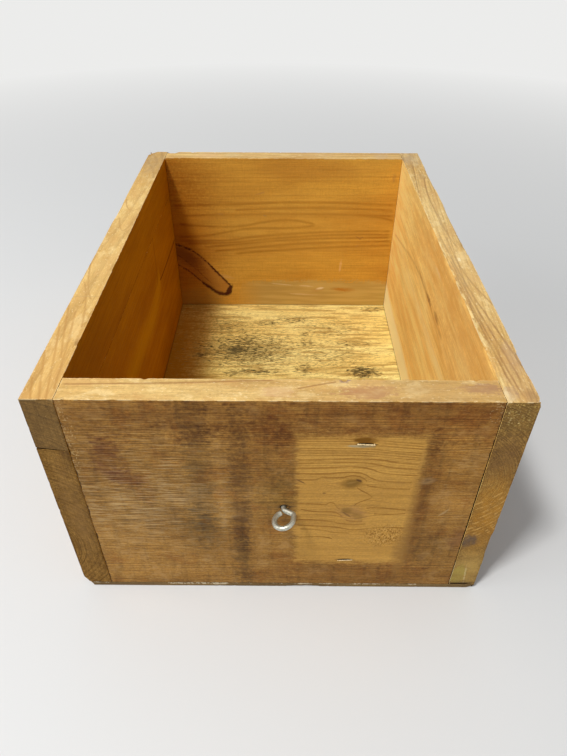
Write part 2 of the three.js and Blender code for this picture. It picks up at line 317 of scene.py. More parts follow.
class Finish:
    """A procedural finish and short ways to add its nodes. Its patterns are laid out in mm."""

    def __init__(self, name):
        self.material = bpy.data.materials.new(name)
        self.material.use_nodes = True
        self.tree = self.material.node_tree
        self.shader = self.tree.nodes["Principled BSDF"]
        self.place = self.tree.nodes.new("ShaderNodeTexCoord")
        self.spot = self.vector("SCALE", self.place.outputs["Object"], scale=1 / mm)

    def feed(self, socket, value):
        if isinstance(value, bpy.types.NodeSocket):
            self.tree.links.new(value, socket)
        elif value is not None:
            socket.default_value = value

    def node(self, kind, *inputs, **settings):
        node = self.tree.nodes.new("ShaderNode" + kind)
        for setting, value in settings.items():
            setattr(node, setting, value)
        for socket, value in zip(node.inputs, inputs):
            self.feed(socket, value)
        return node

    def math(self, operation, *values):
        return self.node("Math", *values, operation=operation).outputs[0]

    def vector(self, operation, first, second=None, scale=None):
        node = self.node("VectorMath", first, second, operation=operation)
        if operation == "SCALE":
            self.feed(node.inputs["Scale"], scale)
        return node.outputs["Value" if operation in ("LENGTH", "DOT_PRODUCT") else "Vector"]

    def split(self, value):
        return self.node("SeparateXYZ", value).outputs

    def join(self, x, y, z):
        return self.node("CombineXYZ", x, y, z).outputs[0]

    def noise(self, size, along=None, long=1, detail=2, rough=0.5, seed=0):
        """Noise of about one size in mm, drawn out along one axis."""
        stretch = [1 / size] * 3
        if along is not None:
            stretch[along] /= long
        shift = (seed * 7.3, seed * 3.1, seed * 5.7)
        moved = self.node("Mapping", self.spot, shift, (0, 0, 0), stretch).outputs[0]
        node = self.node("TexNoise", moved)
        for name, value in (("Scale", 1), ("Detail", detail), ("Roughness", rough)):
            node.inputs[name].default_value = value
        return node.outputs["Fac"]

    def step(self, value, low, high, bottom=0, top=1):
        """Smooth change from bottom to top as value goes from low to high."""
        node = self.node("MapRange", value, low, high, bottom, top)
        node.interpolation_type = "SMOOTHSTEP"
        return node.outputs[0]

    def sway(self, noise_value, reach):
        """Noise turned into a swing from -reach to reach."""
        return self.math("MULTIPLY_ADD", noise_value, 2 * reach, -reach)

    def both(self, *masks):
        """The product of masks and strengths."""
        total = masks[0]
        for mask in masks[1:]:
            total = self.math("MULTIPLY", total, mask)
        return total

    def mix(self, amount, first, second, way="MIX"):
        node = self.node("Mix", data_type="RGBA", blend_type=way)
        self.feed(node.inputs[0], amount)
        for socket, colour in ((node.inputs[6], first), (node.inputs[7], second)):
            self.feed(socket, colour if isinstance(colour, bpy.types.NodeSocket) else (*colour, 1))
        return node.outputs[2]

    def done(self, colour, roughness, height, shine=0.15, metallic=0.0):
        """Feeds the shader: colour, roughness, and a height in mm for the bump."""
        bump = self.node("Bump")
        bump.inputs["Strength"].default_value = 1
        bump.inputs["Distance"].default_value = mm
        self.feed(bump.inputs["Height"], height)
        self.feed(self.shader.inputs["Normal"], bump.outputs[0])
        self.feed(self.shader.inputs["Base Color"], colour)
        self.feed(self.shader.inputs["Roughness"], roughness)
        self.shader.inputs["Specular IOR Level"].default_value = shine
        self.shader.inputs["Metallic"].default_value = metallic
        return self.material


class Wood(Finish):
    """Old softwood of one board: growth rings, fibres, and how each of its faces has aged.

    Marks and lines lie on the two axes that their letters name, such as xz on the front.
    """

    def __init__(self, name, along, outward, low, high, seed):
        """Outward is the axis and sign of the outer face."""
        super().__init__(name)
        self.axes = dict(zip("xyz", self.split(self.spot)))
        self.facing = self.split(self.place.outputs["Normal"])
        self.along = along
        self.seed = seed
        self.outer = self.on_face(*outward)
        self.inner = self.on_face(outward[0], -outward[1])
        self.top = self.on_face(2, 1)
        self.ends = self.math("MAXIMUM", self.on_face(along, 1), self.on_face(along, -1))
        self.end_flats = self.math("MAXIMUM", self.flat_on(along, 1), self.flat_on(along, -1))
        self.inner_flat = self.flat_on(outward[0], -outward[1])
        self.fibre = self.noise(0.9, along, 26, detail=4, rough=0.68, seed=seed)
        self.band = self.noise(5, along, 14, seed=seed + 1)
        self.cloud = self.noise(38, along, 3, detail=3, seed=seed + 2)
        self.mottle = self.noise(3.2, detail=5, rough=0.68, seed=seed + 3)
        self.grit = self.noise(1.0, along, 1.6, detail=3, rough=0.6, seed=seed + 15)
        self.streak = self.noise(1.6, along, 9, detail=3, seed=seed + 4)
        waver = self.noise(8, along, 2.5, detail=5, rough=0.65, seed=seed + 11)
        self.wavering = self.step(waver, 0.36, 0.62, 0.5, 1)
        self.rag = self.math("MULTIPLY_ADD", self.mottle, 0.55, self.both(self.streak, 0.45))
        self.late = None
        self.edge = self.edge_distance(low, high)
        self.hidden = self.flat_on(2, -1)

    def on_face(self, axis, sign, low=0.6, high=0.8):
        """1 on faces that look along one axis."""
        return self.step(self.both(self.facing[axis], sign), low, high)

    def flat_on(self, axis, sign):
        """1 on the flat of a face, but not on its arrises."""
        return self.on_face(axis, sign, 0.93, 0.98)

    def edge_distance(self, low, high):
        """How far a spot is from the nearest arris of the board, in mm."""
        nears = []
        for value, a, b in zip(self.axes.values(), low, high):
            middle, half = (a + b) / 2 / mm, (b - a) / 2 / mm
            off = self.math("ABSOLUTE", self.math("SUBTRACT", value, middle))
            nears.append(self.math("SUBTRACT", half, off))
        small = self.math("MINIMUM", nears[0], nears[1])
        large = self.math("MAXIMUM", nears[0], nears[1])
        return self.math("MAXIMUM", small, self.math("MINIMUM", large, nears[2]))

    def scaled(self, offset, size):
        """An offset as a share of a size. An axis whose size is 0 doesn't count."""
        return self.vector("MULTIPLY", offset, [1 / side if side else 0 for side in size])

    def patch(self, place, size, turn=0, soft=0.5, ragged=0.5, square=False):
        """Soft patch: 1 in its middle, 0 outside. A turn in degrees tips its right end down."""
        offset = self.vector("SUBTRACT", self.spot, place)
        if turn:
            cos, sin = math.cos(math.radians(turn)), math.sin(math.radians(turn))
            right = self.vector("DOT_PRODUCT", offset, (cos, 0, -sin))
            up = self.vector("DOT_PRODUCT", offset, (sin, 0, cos))
            offset = self.join(right, 0, up)
        offset = self.scaled(offset, size)
        if square:
            sides = self.split(self.vector("ABSOLUTE", offset))
            reach = self.math("MAXIMUM", self.math("MAXIMUM", sides[0], sides[1]), sides[2])
        else:
            reach = self.vector("LENGTH", offset)
        reach = self.math("ADD", reach, self.sway(self.rag, ragged))
        return self.step(reach, 1 + soft / 2, 1 - soft / 2)

    def tinted(self, colour, axes, marks, way="MIX", ragged=1.1):
        """Lays patches on a colour: place, half sizes, turn, softness, tint and strength."""
        for first, second, wide, high, turn, soft, tint, strength in marks:
            place, size = spread(axes, first, second), spread(axes, wide, high)
            mask = self.patch(place, size, turn, soft=soft, ragged=ragged)
            colour = self.mix(self.both(mask, self.wavering, strength), colour, tint, way)
        return colour

    def strongest(self, axes, spots, ragged):
        """The strongest of several patches: place, half sizes, softness and strength."""
        total = 0.0
        for first, second, wide, high, soft, strength in spots:
            place, size = spread(axes, first, second), spread(axes, wide, high)
            mask = self.patch(place, size, soft=soft, ragged=ragged)
            total = self.math("MAXIMUM", total, self.both(mask, strength))
        return total

    def follow(self, run, points):
        """Where a drawn line is at a run: its height there, and the share of its way."""
        first, last = points[0][0], points[-1][0]
        low = min(point[1] for point in points) - 1
        high = max(point[1] for point in points) + 1
        share = self.math("DIVIDE", self.math("SUBTRACT", run, first), last - first)
        node = self.node("FloatCurve")
        curve = node.mapping.curves[0]
        spots = [((r - first) / (last - first), (a - low) / (high - low)) for r, a in points]
        curve.points[0].location = spots[0]
        curve.points[1].location = spots[-1]
        for spot in spots[1:-1]:
            curve.points.new(*spot)
        node.mapping.update()
        self.feed(node.inputs["Value"], share)
        return self.math("MULTIPLY_ADD", node.outputs[0], high - low, low), share

    def off_line(self, axes, points, ragged):
        """How far a spot is past a drawn line that frays, and the share of the line's way."""
        run, across = [self.axes[axis] for axis in axes]
        at, share = self.follow(run, points)
        return self.math("SUBTRACT", across, at), self.sway(self.rag, ragged), share

    def under(self, axes, points, soft=1.0, ragged=1.0):
        """1 below a drawn line, 0 above it."""
        off, fray, _ = self.off_line(axes, points, ragged)
        return self.step(self.math("ADD", off, fray), soft, -soft)

    def drawn(self, colour, axes, traces, tint, *strengths, width=0.5, soft=0.8, ragged=0.6):
        """Draws lines on a colour. As the first axis goes along, the second follows the points."""
        lines = self.lines(axes, traces, width, soft, ragged)
        return self.mix(self.both(lines, *strengths), colour, tint)

    def lines(self, axes, traces, width=0.5, soft=0.8, ragged=0.6):
        """The strongest of several drawn lines, which fade at their ends."""
        total = 0.0
        for points in traces:
            off, fray, share = self.off_line(axes, points, ragged)
            far = self.math("ADD", self.math("ABSOLUTE", off), fray)
            core = self.step(far, width * (1 + soft), width * (1 - soft))
            fade = self.both(self.step(share, 0, 0.03), self.step(share, 1, 0.97))
            total = self.math("MAXIMUM", total, self.both(core, fade))
        return total

    def grow(self, pith, lean, ring, bend=2.5, knots=(), rise=0.3):
        """Growth rings round a pith line: how late the wood is in its ring, from 0 to 1.

        A knot is its place, its reach, how far it parts the grain, and how far it lifts it.
        """
        along = self.along
        across, up = [axis for axis in range(3) if axis != along]
        spot = list(self.axes.values())
        sides = []
        for axis, pith_at, slope, shift in ((across, pith[0], lean[0], 6), (up, pith[1], lean[1], 7)):
            run = self.math("MULTIPLY_ADD", spot[along], -slope, spot[axis])
            drift = self.sway(self.noise(60, along, 5, seed=self.seed + shift), bend)
            sides.append(self.math("ADD", self.math("SUBTRACT", run, pith_at), drift))
        for place, reach, part, lift in knots:
            offset = self.scaled(self.vector("SUBTRACT", self.spot, place), reach)
            far = self.math("POWER", self.vector("LENGTH", offset), 2)
            fade = self.math("EXPONENT", self.both(far, -1))
            if part:
                side = self.split(offset)[up]
                shove = self.both(side, fade, -part)
                sides[1] = self.math("ADD", sides[1], shove)
            if lift:
                sides[1] = self.math("MULTIPLY_ADD", fade, -lift, sides[1])
        radius = self.vector("LENGTH", self.join(sides[0], sides[1], 0))
        drift = self.node("TexNoise", noise_dimensions="1D")
        self.feed(drift.inputs["W"], self.math("MULTIPLY_ADD", radius, 0.045, self.seed * 3.3))
        self.feed(drift.inputs["Scale"], 1)
        count = self.math("MULTIPLY_ADD", drift.outputs["Fac"], 5, self.math("DIVIDE", radius, ring))
        part_way = self.math("FRACT", count)
        each = self.node("TexWhiteNoise", noise_dimensions="1D")
        self.feed(each.inputs["W"], self.math("FLOOR", count))
        strength = self.math("MULTIPLY_ADD", each.outputs["Value"], 0.7, 0.3)
        profile = self.both(self.step(part_way, rise, 0.88), self.step(part_way, 1.0, 0.9))
        self.late = self.both(profile, strength)

    def tone(self, early, late, lines=0.7, grain=0.2, mottled=0.1):
        """Wood colour: two early tones, late lines, and shade from fibres, bands and mottle.

        The darker the shade, the redder it is.
        """
        colour = self.mix(self.step(self.cloud, 0.32, 0.68), early[0], early[1])
        colour = self.mix(self.both(self.late, lines), colour, late)
        shade = self.math("ADD", self.sway(self.fibre, grain), self.sway(self.band, grain * 0.6))
        shade = self.math("ADD", shade, self.sway(self.mottle, mottled))
        shade = self.math("ADD", shade, self.sway(self.grit, mottled * 1.2))
        shade = self.math("MAXIMUM", self.math("ADD", shade, 1), 0.15)
        green, blue = self.math("POWER", shade, 1.12), self.math("POWER", shade, 1.3)
        tint = self.node("CombineColor", shade, green, blue).outputs[0]
        return self.mix(1, colour, tint, "MULTIPLY")

    def weathered(self):
        """Outer face: brown with dirt, blotched and frayed, with faint drips that ran down it."""
        colour = self.tone(weathered_early, weathered_late, 1.0, 0.5, 0.4)
        drips = self.noise(5, 2, 10, detail=4, rough=0.6, seed=self.seed + 8)
        colour = self.mix(self.step(drips, 0.5, 0.72, 0, 0.6), colour, (0.60, 0.60, 0.62), "MULTIPLY")
        blots = self.noise(20, detail=6, rough=0.66, seed=self.seed + 9)
        colour = self.mix(self.step(blots, 0.5, 0.66, 0, 0.7), colour, (0.80, 0.64, 0.54), "MULTIPLY")
        colour = self.mix(self.step(blots, 0.48, 0.34, 0, 0.4), colour, (0.50, 0.29, 0.10))
        frayed = self.noise(0.9, self.along, 9, detail=2, seed=self.seed + 12)
        colour = self.mix(self.step(frayed, 0.58, 0.72, 0, 0.45), colour, (0.54, 0.34, 0.12))
        nicks = self.noise(1.2, self.along, 5, detail=3, rough=0.6, seed=self.seed + 13)
        return self.mix(self.step(nicks, 0.56, 0.68, 0, 0.45), colour, (0.13, 0.065, 0.02))

    def pale(self):
        """Upper edge: rubbed pale by hands and tools, blotched orange, flecked light and dark."""
        colour = self.tone(pale_early, pale_late, 0.7, 0.45, 0.2)
        blotch = self.noise(11, self.along, 2, detail=4, rough=0.6, seed=self.seed + 17)
        colour = self.mix(self.step(blotch, 0.5, 0.64, 0, 0.55), colour, (0.60, 0.33, 0.105))
        colour = self.mix(self.step(blotch, 0.46, 0.34, 0, 0.4), colour, (0.92, 0.70, 0.34))
        flecks = self.noise(1.5, self.along, 2.2, detail=3, rough=0.7, seed=self.seed + 16)
        colour = self.mix(self.step(flecks, 0.60, 0.67, 0, 0.55), colour, (0.95, 0.77, 0.43))
        return self.mix(self.step(flecks, 0.40, 0.32, 0, 0.5), colour, (0.40, 0.21, 0.075))

    def end_grain(self):
        """Sawn end: dull brown, with rough pores and upright saw marks."""
        colour = self.tone(end_early, end_late, 0.9, 0.5, 0.6)
        saw = self.noise(1.1, 2, 16, detail=3, seed=self.seed + 10)
        return self.mix(self.step(saw, 0.4, 0.62, 0, 0.5), colour, (0.60, 0.52, 0.45), "MULTIPLY")

    def aged(self, outer=None, inner=None, top=None, end=None, rubbed=0.35):
        """One colour for the whole board, face by face, with dirt and rubbed spots along arrises."""
        inner = inner or self.tone(honey_early, honey_late, 0.4, 0.28, 0.14)
        colour = self.mix(self.outer, inner, outer or self.weathered())
        colour = self.mix(self.top, colour, top or self.pale())
        colour = self.mix(self.ends, colour, end or self.end_grain())
        dirt = self.step(self.math("ADD", self.edge, self.sway(self.rag, 4)), 1.5, 0.2, 0, 0.3)
        dirt = self.both(dirt, self.math("SUBTRACT", 1, self.math("MAXIMUM", self.top, self.inner)))
        colour = self.mix(dirt, colour, (0.5, 0.42, 0.34), "MULTIPLY")
        rubs = self.step(self.noise(5, self.along, 2, detail=5, seed=self.seed + 14), 0.48, 0.56)
        near_top = self.step(self.axes["z"], box_top - 3, box_top - 1)
        rubs = self.both(rubs, self.step(self.edge, 1.1, 0.3), near_top, rubbed)
        colour = self.mix(rubs, colour, (0.95, 0.76, 0.42))
        return self.mix(self.hidden, colour, joint_dark)

    def covered(self, mask):
        """Names a place that lies against another board: no light or wear gets there."""
        self.hidden = self.math("MAXIMUM", self.hidden, mask)

    def relief(self):
        """Height in mm: late wood and fibres stand up, pores sink."""
        worn = self.math("MULTIPLY_ADD", self.outer, 0.06, 0.04)
        worn = self.math("ADD", worn, self.both(self.ends, 0.14))
        height = self.math("ADD", self.sway(self.fibre, 1.0), self.sway(self.mottle, 0.8))
        return self.math("MULTIPLY_ADD", self.late, 0.1, self.both(height, worn))

    def finish(self, colour, shine=0.15):
        rough = self.step(self.mottle, 0.3, 0.7, 0.6, 0.8)
        return self.done(colour, rough, self.relief(), shine)


weathered_early = ((0.452, 0.229, 0.050), (0.326, 0.156, 0.031))
weathered_late = (0.125, 0.055, 0.012)
honey_early = ((0.70, 0.378, 0.054), (0.59, 0.290, 0.037))
honey_late = (0.40, 0.16, 0.016)
pale_early = ((0.74, 0.495, 0.18), (0.58, 0.325, 0.088))
pale_late = (0.36, 0.18, 0.050)
end_early = ((0.310, 0.165, 0.040), (0.230, 0.118, 0.027))
end_late = (0.130, 0.062, 0.015)
joint_dark = (0.035, 0.016, 0.006)
press = 0.00045


def snug(node, ends_too=False):
    """A board's box, pressed down on the sheet, and for an end board against the sides too."""
    low, high = [list(corner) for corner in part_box(node)]
    low[2] -= press
    if ends_too:
        low[0] -= press
        high[0] += press
    return low, high


def dress(piece, finish, node, body="box"):
    """Gives a piece its finish, and says what it rides on and which CAD node it stands for."""
    piece.data.materials.clear()
    piece.data.materials.append(finish)
    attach(piece, body)
    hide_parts(node)


board_cells = (0.0017, 0.0026, 0.0026)
low, high = snug("front_board", ends_too=True)
front_knocks = [
    ((42, -209, 211), (3, 2.5, 3), 1.3),
    ((-135, -231, 211), (4, 2, 2), 0.8),
    ((-141, -231, 165), (3, 2, 5), 1.0),
]
front = worn_board("worn_front_board", low, high, board_cells, 0.8, front_knocks)

# The right end of the front board has dried hollow: its joint stands open at mid-height.
hollow_depth = 0.0006
hollow_reach = 0.004
board_thick = 0.022
for vertex in front.data.vertices:
    if vertex.co.x > high[0] - hollow_reach:
        rise = (vertex.co.z - low[2]) / (high[2] - low[2])
        nearness = min(1, max(0, (high[1] - vertex.co.y) / board_thick))
        vertex.co.x -= hollow_depth * math.sin(math.pi * min(1, max(0, rise))) * nearness

eye_hole = Vector((0.0027, low[1], 0.10634))
eye_hole_radius = 0.0029
eye_hole_depth = 0.02
torn_side = Vector((0.003, 0, 0.0006))
torn_radius = 0.0011
torn_depth = 0.004
drill(front, [peg(eye_hole, (0, 1, 0), eye_hole_radius, eye_hole_depth, ragged=0.5)])
drill(front, [peg(eye_hole + torn_side, (0, 1, 0), torn_radius, torn_depth, ragged=0.6)])

wood = Wood("front_wood", 0, (1, -1), low, high, 1)
front_knots = [
    ((51.7, 0, 133.5), (15, 0, 9), 11, 0),
    ((54.5, 0, 99.5), (16, 0, 11), 12, 0),
    ((64, 0, 118), (14, 0, 7), 0, 2.6),
    ((115, 0, 150), (40, 0, 26), 0, -6.5),
    ((103.7, 0, 135), (6, 0, 5), 4, 0),
]
wood.grow((-214, -330), (0, 0.003), 1.6, bend=3, knots=front_knots, rise=0.5)
wood.covered(wood.end_flats)
front_stains = [
    (0, 204, 190, 24, 0, 1.0, (0.73, 0.65, 0.57), 0.95),
    (95, 194, 120, 18, 0, 0.8, (0.80, 0.70, 0.62), 0.9),
    (-57, 150, 9, 80, 0, 1.2, (0.56, 0.57, 0.61), 0.85),
    (-29, 110, 7, 95, 0, 1.0, (0.56, 0.54, 0.58), 0.85),
    (-29, 90, 6, 26, 0, 1.2, (0.62, 0.58, 0.64), 0.7),
    (-12, 180, 26, 26, 0, 1.4, (0.82, 0.78, 0.74), 0.8),
    (-120, 158, 10, 20, 10, 1.0, (0.56, 0.42, 0.44), 0.95),
    (-110, 138, 13, 7, 24, 1.0, (0.54, 0.40, 0.42), 0.95),
    (-58, 192, 16, 14, 0, 1.4, (0.70, 0.62, 0.58), 0.8),
    (-60, 78, 14, 22, 0, 1.2, (0.60, 0.64, 0.72), 0.9),
    (-88, 95, 16, 18, 0, 1.4, (0.76, 0.74, 0.72), 0.8),
    (-30, 40, 7, 36, -4, 1.0, (0.60, 0.64, 0.74), 0.75),
    (0, 118, 14, 20, 0, 1.4, (0.66, 0.70, 0.66), 0.85),
    (-10, 160, 36, 30, 0, 1.4, (0.80, 0.74, 0.68), 0.8),
    (108, 100, 12, 60, 0, 1.2, (0.76, 0.72, 0.70), 0.8),
    (120, 50, 26, 20, 0, 1.2, (0.72, 0.70, 0.68), 0.8),
    (60, 20, 70, 14, 0, 1.0, (0.80, 0.72, 0.66), 0.8),
    (140, 68, 8, 14, 0, 1.0, (0.72, 0.56, 0.58), 0.7),
]
front_lights = [
    (-100, 112, 50, 30, 0, 1.6, (1.25, 1.38, 1.7), 0.8),
    (-43, 106, 5, 30, 0, 1.2, (1.3, 1.42, 1.7), 0.8),
    (-108, 45, 44, 30, 0, 1.6, (1.35, 1.4, 1.5), 0.6),
    (-8, 60, 26, 22, 0, 1.4, (1.25, 1.25, 1.2), 0.5),
    (122, 150, 22, 50, 0, 1.4, (1.25, 1.2, 1.1), 0.7),
    (102.5, 163, 4, 27, 0, 1.0, (0.60, 0.54, 0.48), 0.85),
    (104, 115, 5, 60, 2, 1.2, (0.68, 0.62, 0.56), 0.75),
]
ridges = wood.patch((-100, 0, 122), (64, 0, 62), soft=1.7, ragged=1.2)
ridge_dash = wood.noise(0.8, 0, 24, detail=3, rough=0.55, seed=35)
dark_ridge = wood.both(ridges, wood.step(ridge_dash, 0.5, 0.62, 0, 0.8))
pale_ridge = wood.both(ridges, wood.step(ridge_dash, 0.48, 0.36, 0, 0.6))
aged_front = wood.mix(dark_ridge, wood.weathered(), (0.12, 0.06, 0.018))
aged_front = wood.mix(pale_ridge, aged_front, (0.58, 0.39, 0.17))
aged_front = wood.tinted(aged_front, "xz", front_stains, "MULTIPLY", 1.8)
aged_front = wood.tinted(aged_front, "xz", front_lights, "MULTIPLY", 1.8)
from_joint = wood.math("SUBTRACT", inner_x + 0.1, wood.math("ABSOLUTE", wood.axes["x"]))
seam = wood.math("ADD", from_joint, wood.sway(wood.noise(2.2, 2, 3, seed=31), 2))
broken = wood.step(wood.noise(6, 2, 1.5, seed=32), 0.36, 0.5, 0.2, 0.85)
seam = wood.both(wood.step(seam, 0.9, 0.3), broken)
aged_front = wood.mix(seam, aged_front, (0.045, 0.022, 0.008))
torn_edge = wood.patch((-142, 0, 178), (7, 0, 40), ragged=0.8)
torn_edge = wood.math("MAXIMUM", torn_edge, wood.patch((142, 0, 203), (8, 0, 11), ragged=0.8))
torn_edge = wood.both(torn_edge, wood.step(wood.noise(1.8, detail=3, seed=33), 0.55, 0.64, 0, 0.7))
aged_front = wood.mix(torn_edge, aged_front, (0.52, 0.34, 0.14))
fresh_early = ((0.645, 0.352, 0.074), (0.565, 0.295, 0.058))
fresh_front = wood.tone(fresh_early, (0.30, 0.14, 0.028), 0.7, 0.28, 0.2)
card = wood.patch((55, 0, 108), (43, 0, 71.8), soft=0.14, ragged=0.26, square=True)
card_grain = [
    [(11, 157.4), (32, 157.9), (46, 158.7), (57, 158.7), (66, 158.3), (81, 155.4), (98, 153.6)],
    [(11, 154.1), (32, 154.7), (46, 155.2), (57, 155), (66, 153.6), (81, 149.8), (98, 148.7)],
    [(11, 149.2), (38, 150), (48.5, 150.9), (57, 150.3), (64, 148.2), (77, 143.5), (98, 142.2)],
    [(11, 143.8), (32, 143.3), (48.5, 145.1), (54, 144.9), (65, 138.9), (72, 136.2), (95, 134.9)],
    [(11, 137.3), (24.6, 137.1), (30, 139.5), (41, 139.5), (47.4, 140)],
    [(45, 139.6), (52, 141.6), (58, 139.6), (62, 135)],
    [(61.5, 131.3), (68, 129.7), (76, 128.3), (94, 127.8)],
    [(55, 129.1), (59.3, 125.3), (63.7, 122.1), (67.5, 118.3)],
    [(54.5, 108.5), (57.2, 111.7), (61.5, 114.5), (67.5, 118)],
    [(11, 110.7), (27, 110.1), (33, 109.6), (37.6, 112), (42, 106.8), (45, 104.1)],
    [(15, 104.1), (27, 101.4), (40, 100.9), (44, 98.7), (47.4, 95.4)],
    [(63.7, 105.8), (72, 106.3), (83, 105.2), (94, 103.9)],
    [(70, 99.2), (81, 98.7), (94, 99.8)],
    [(11, 91.6), (27, 91.1), (39, 89.5), (46, 87.3), (59, 86.2), (66, 87.3)],
    [(49.6, 91.6), (56, 90), (62.6, 90.5)],
    [(11, 85.1), (27, 84), (41, 82.9), (48.5, 81.3), (56, 79.7), (66, 80.8), (76, 82.4), (97, 82.2)],
    [(15, 80.2), (30, 79.1), (43, 75.9), (54, 75.3)],
    [(15, 69.3), (30, 70.4), (41, 67.7)],
]
level_grain = [
    [(11, height), (50, height + 0.2), (62, height - 0.3), (76, height - 1.9), (98, height - 4.2)]
    for height in (162, 164.2, 166.6, 168.6, 173, 175.4, 177.6)
]
drawn = wood.lines("xz", card_grain, width=0.65, ragged=0.5)
faint = wood.lines("xz", level_grain, width=0.45, ragged=0.4)
drawn = wood.math("MAXIMUM", wood.both(drawn, 0.7), wood.both(faint, 0.6))
fresh_front = wood.mix(wood.both(drawn, wood.wavering), fresh_front, (0.24, 0.09, 0.007))
rough_spot = wood.patch((81, 0, 72.6), (15, 0, 12), soft=0.9, ragged=0.8)
dash = wood.noise(1.0, 2, 1.6, detail=3, rough=0.6, seed=34)
dark_dash = wood.both(rough_spot, wood.step(dash, 0.52, 0.62, 0, 0.9))
fresh_front = wood.mix(dark_dash, fresh_front, (0.22, 0.085, 0.008))
pale_dash = wood.both(rough_spot, wood.step(dash, 0.44, 0.34, 0, 0.5))
fresh_front = wood.mix(pale_dash, fresh_front, (0.80, 0.54, 0.19))
outer_front = wood.mix(card, aged_front, fresh_front)
front_marks = [
    (51.7, 133.5, 9, 6, -18, 0.9, (0.38, 0.185, 0.03), 0.7),
    (51.7, 133.5, 5.8, 3.9, -18, 0.9, (0.225, 0.115, 0.018), 0.85),
    (50.5, 134, 3.8, 0.8, -18, 0.9, (0.38, 0.21, 0.05), 0.6),
    (56.2, 136.6, 2.6, 1.1, 30, 0.8, (0.09, 0.04, 0.018), 0.8),
    (54, 99.6, 11, 7.5, 32, 1.0, (0.38, 0.195, 0.075), 0.6),
    (50, 102.6, 4.6, 3.4, 30, 1.2, (0.25, 0.13, 0.022), 0.85),
    (58.3, 96.4, 5, 3.2, 30, 1.2, (0.27, 0.14, 0.026), 0.85),
    (50.5, 97.6, 4.5, 0.8, 42, 0.8, (0.09, 0.04, 0.018), 0.75),
    (104.5, 136.7, 5.4, 3.4, -20, 1.0, (0.44, 0.28, 0.12), 0.45),
    (104.5, 136.7, 2.2, 1.2, -20, 1.0, (0.16, 0.08, 0.03), 0.6),
    (122, 101, 5, 1, -50, 0.8, (0.56, 0.38, 0.17), 0.6),
    (32, 122.6, 1.2, 1, 0, 0.7, (0.14, 0.06, 0.02), 0.8),
    (14.7, 135.4, 4.2, 0.7, 36, 0.7, (0.14, 0.06, 0.02), 0.7),
    (98.5, 96, 3.4, 44, 0, 1.2, (0.36, 0.18, 0.04), 0.6),
    (97, 52, 6.5, 26, 0, 1.2, (0.32, 0.16, 0.036), 0.8),
    (54.5, 171.2, 8.5, 1.2, 2, 0.8, (0.46, 0.38, 0.22), 0.9),
    (57.4, 176.8, 7.6, 2.8, 2, 0.7, (0.20, 0.08, 0.004), 1.2),
    # Painted shadow: a dark line under the raised crown of the upper staple.
    (58.2, 173, 7, 1.3, 2, 0.7, (0.045, 0.026, 0.008), 1.2),
    # Painted shade: a dark slot line above the lower staple.
    (52, 40.2, 6.6, 1.1, 0, 0.7, (0.09, 0.045, 0.012), 1.2),
    # Painted shade in the screw eye's hole and in the tear beside it.
    (3.6, 106.4, 4.4, 3.6, 0, 0.5, (0.05, 0.025, 0.01), 0.85),
    (9, 107.2, 4, 0.9, -5, 0.6, (0.06, 0.03, 0.012), 0.8),
]
outer_front = wood.tinted(outer_front, "xz", front_marks, ragged=0.7)
front_top_lines = [
    [(-143, -215.8), (-102, -214.6), (-63, -213.4), (-28, -211.6), (-2, -210.4)],
    [(11, -218.8), (28, -214), (37, -211.6)],
]
front_top = wood.drawn(wood.pale(), "xy", front_top_lines, (0.34, 0.16, 0.05), 0.7, width=0.7)
front_top_marks = [
    (-2, -222, 10, 5, 0, 0.7, (0.60, 0.33, 0.15), 0.6),
    (57, -221.7, 18, 6.5, 0, 0.5, (0.46, 0.205, 0.085), 0.85),
    (130, -217.6, 15, 4.5, 0, 0.6, (0.36, 0.16, 0.085), 0.8),
    (42.5, -210, 4, 2, 0, 0.8, (0.28, 0.16, 0.14), 0.8),
    (100, -220, 50, 12, 0, 1.4, (0.52, 0.33, 0.14), 0.45),
]
front_top = wood.tinted(front_top, "xy", front_top_marks, ragged=1.9)
finish = wood.finish(wood.aged(outer=outer_front, top=front_top))
dress(front, finish, "front_board")

# Back board: the other end board, of the same wood. Its inner face is planed and has gone orange.
# A long tongue of grain runs across it, a dark spike knot stands in its lower left corner, and a
# paler band of sapwood lies along its foot.
low, high = snug("back_board", ends_too=True)
back_knocks = [((-138, 231, 211.5), (10, 5, 2.5), 1.6)]
back = worn_board("worn_back_board", low, high, board_cells, 1.0, back_knocks)

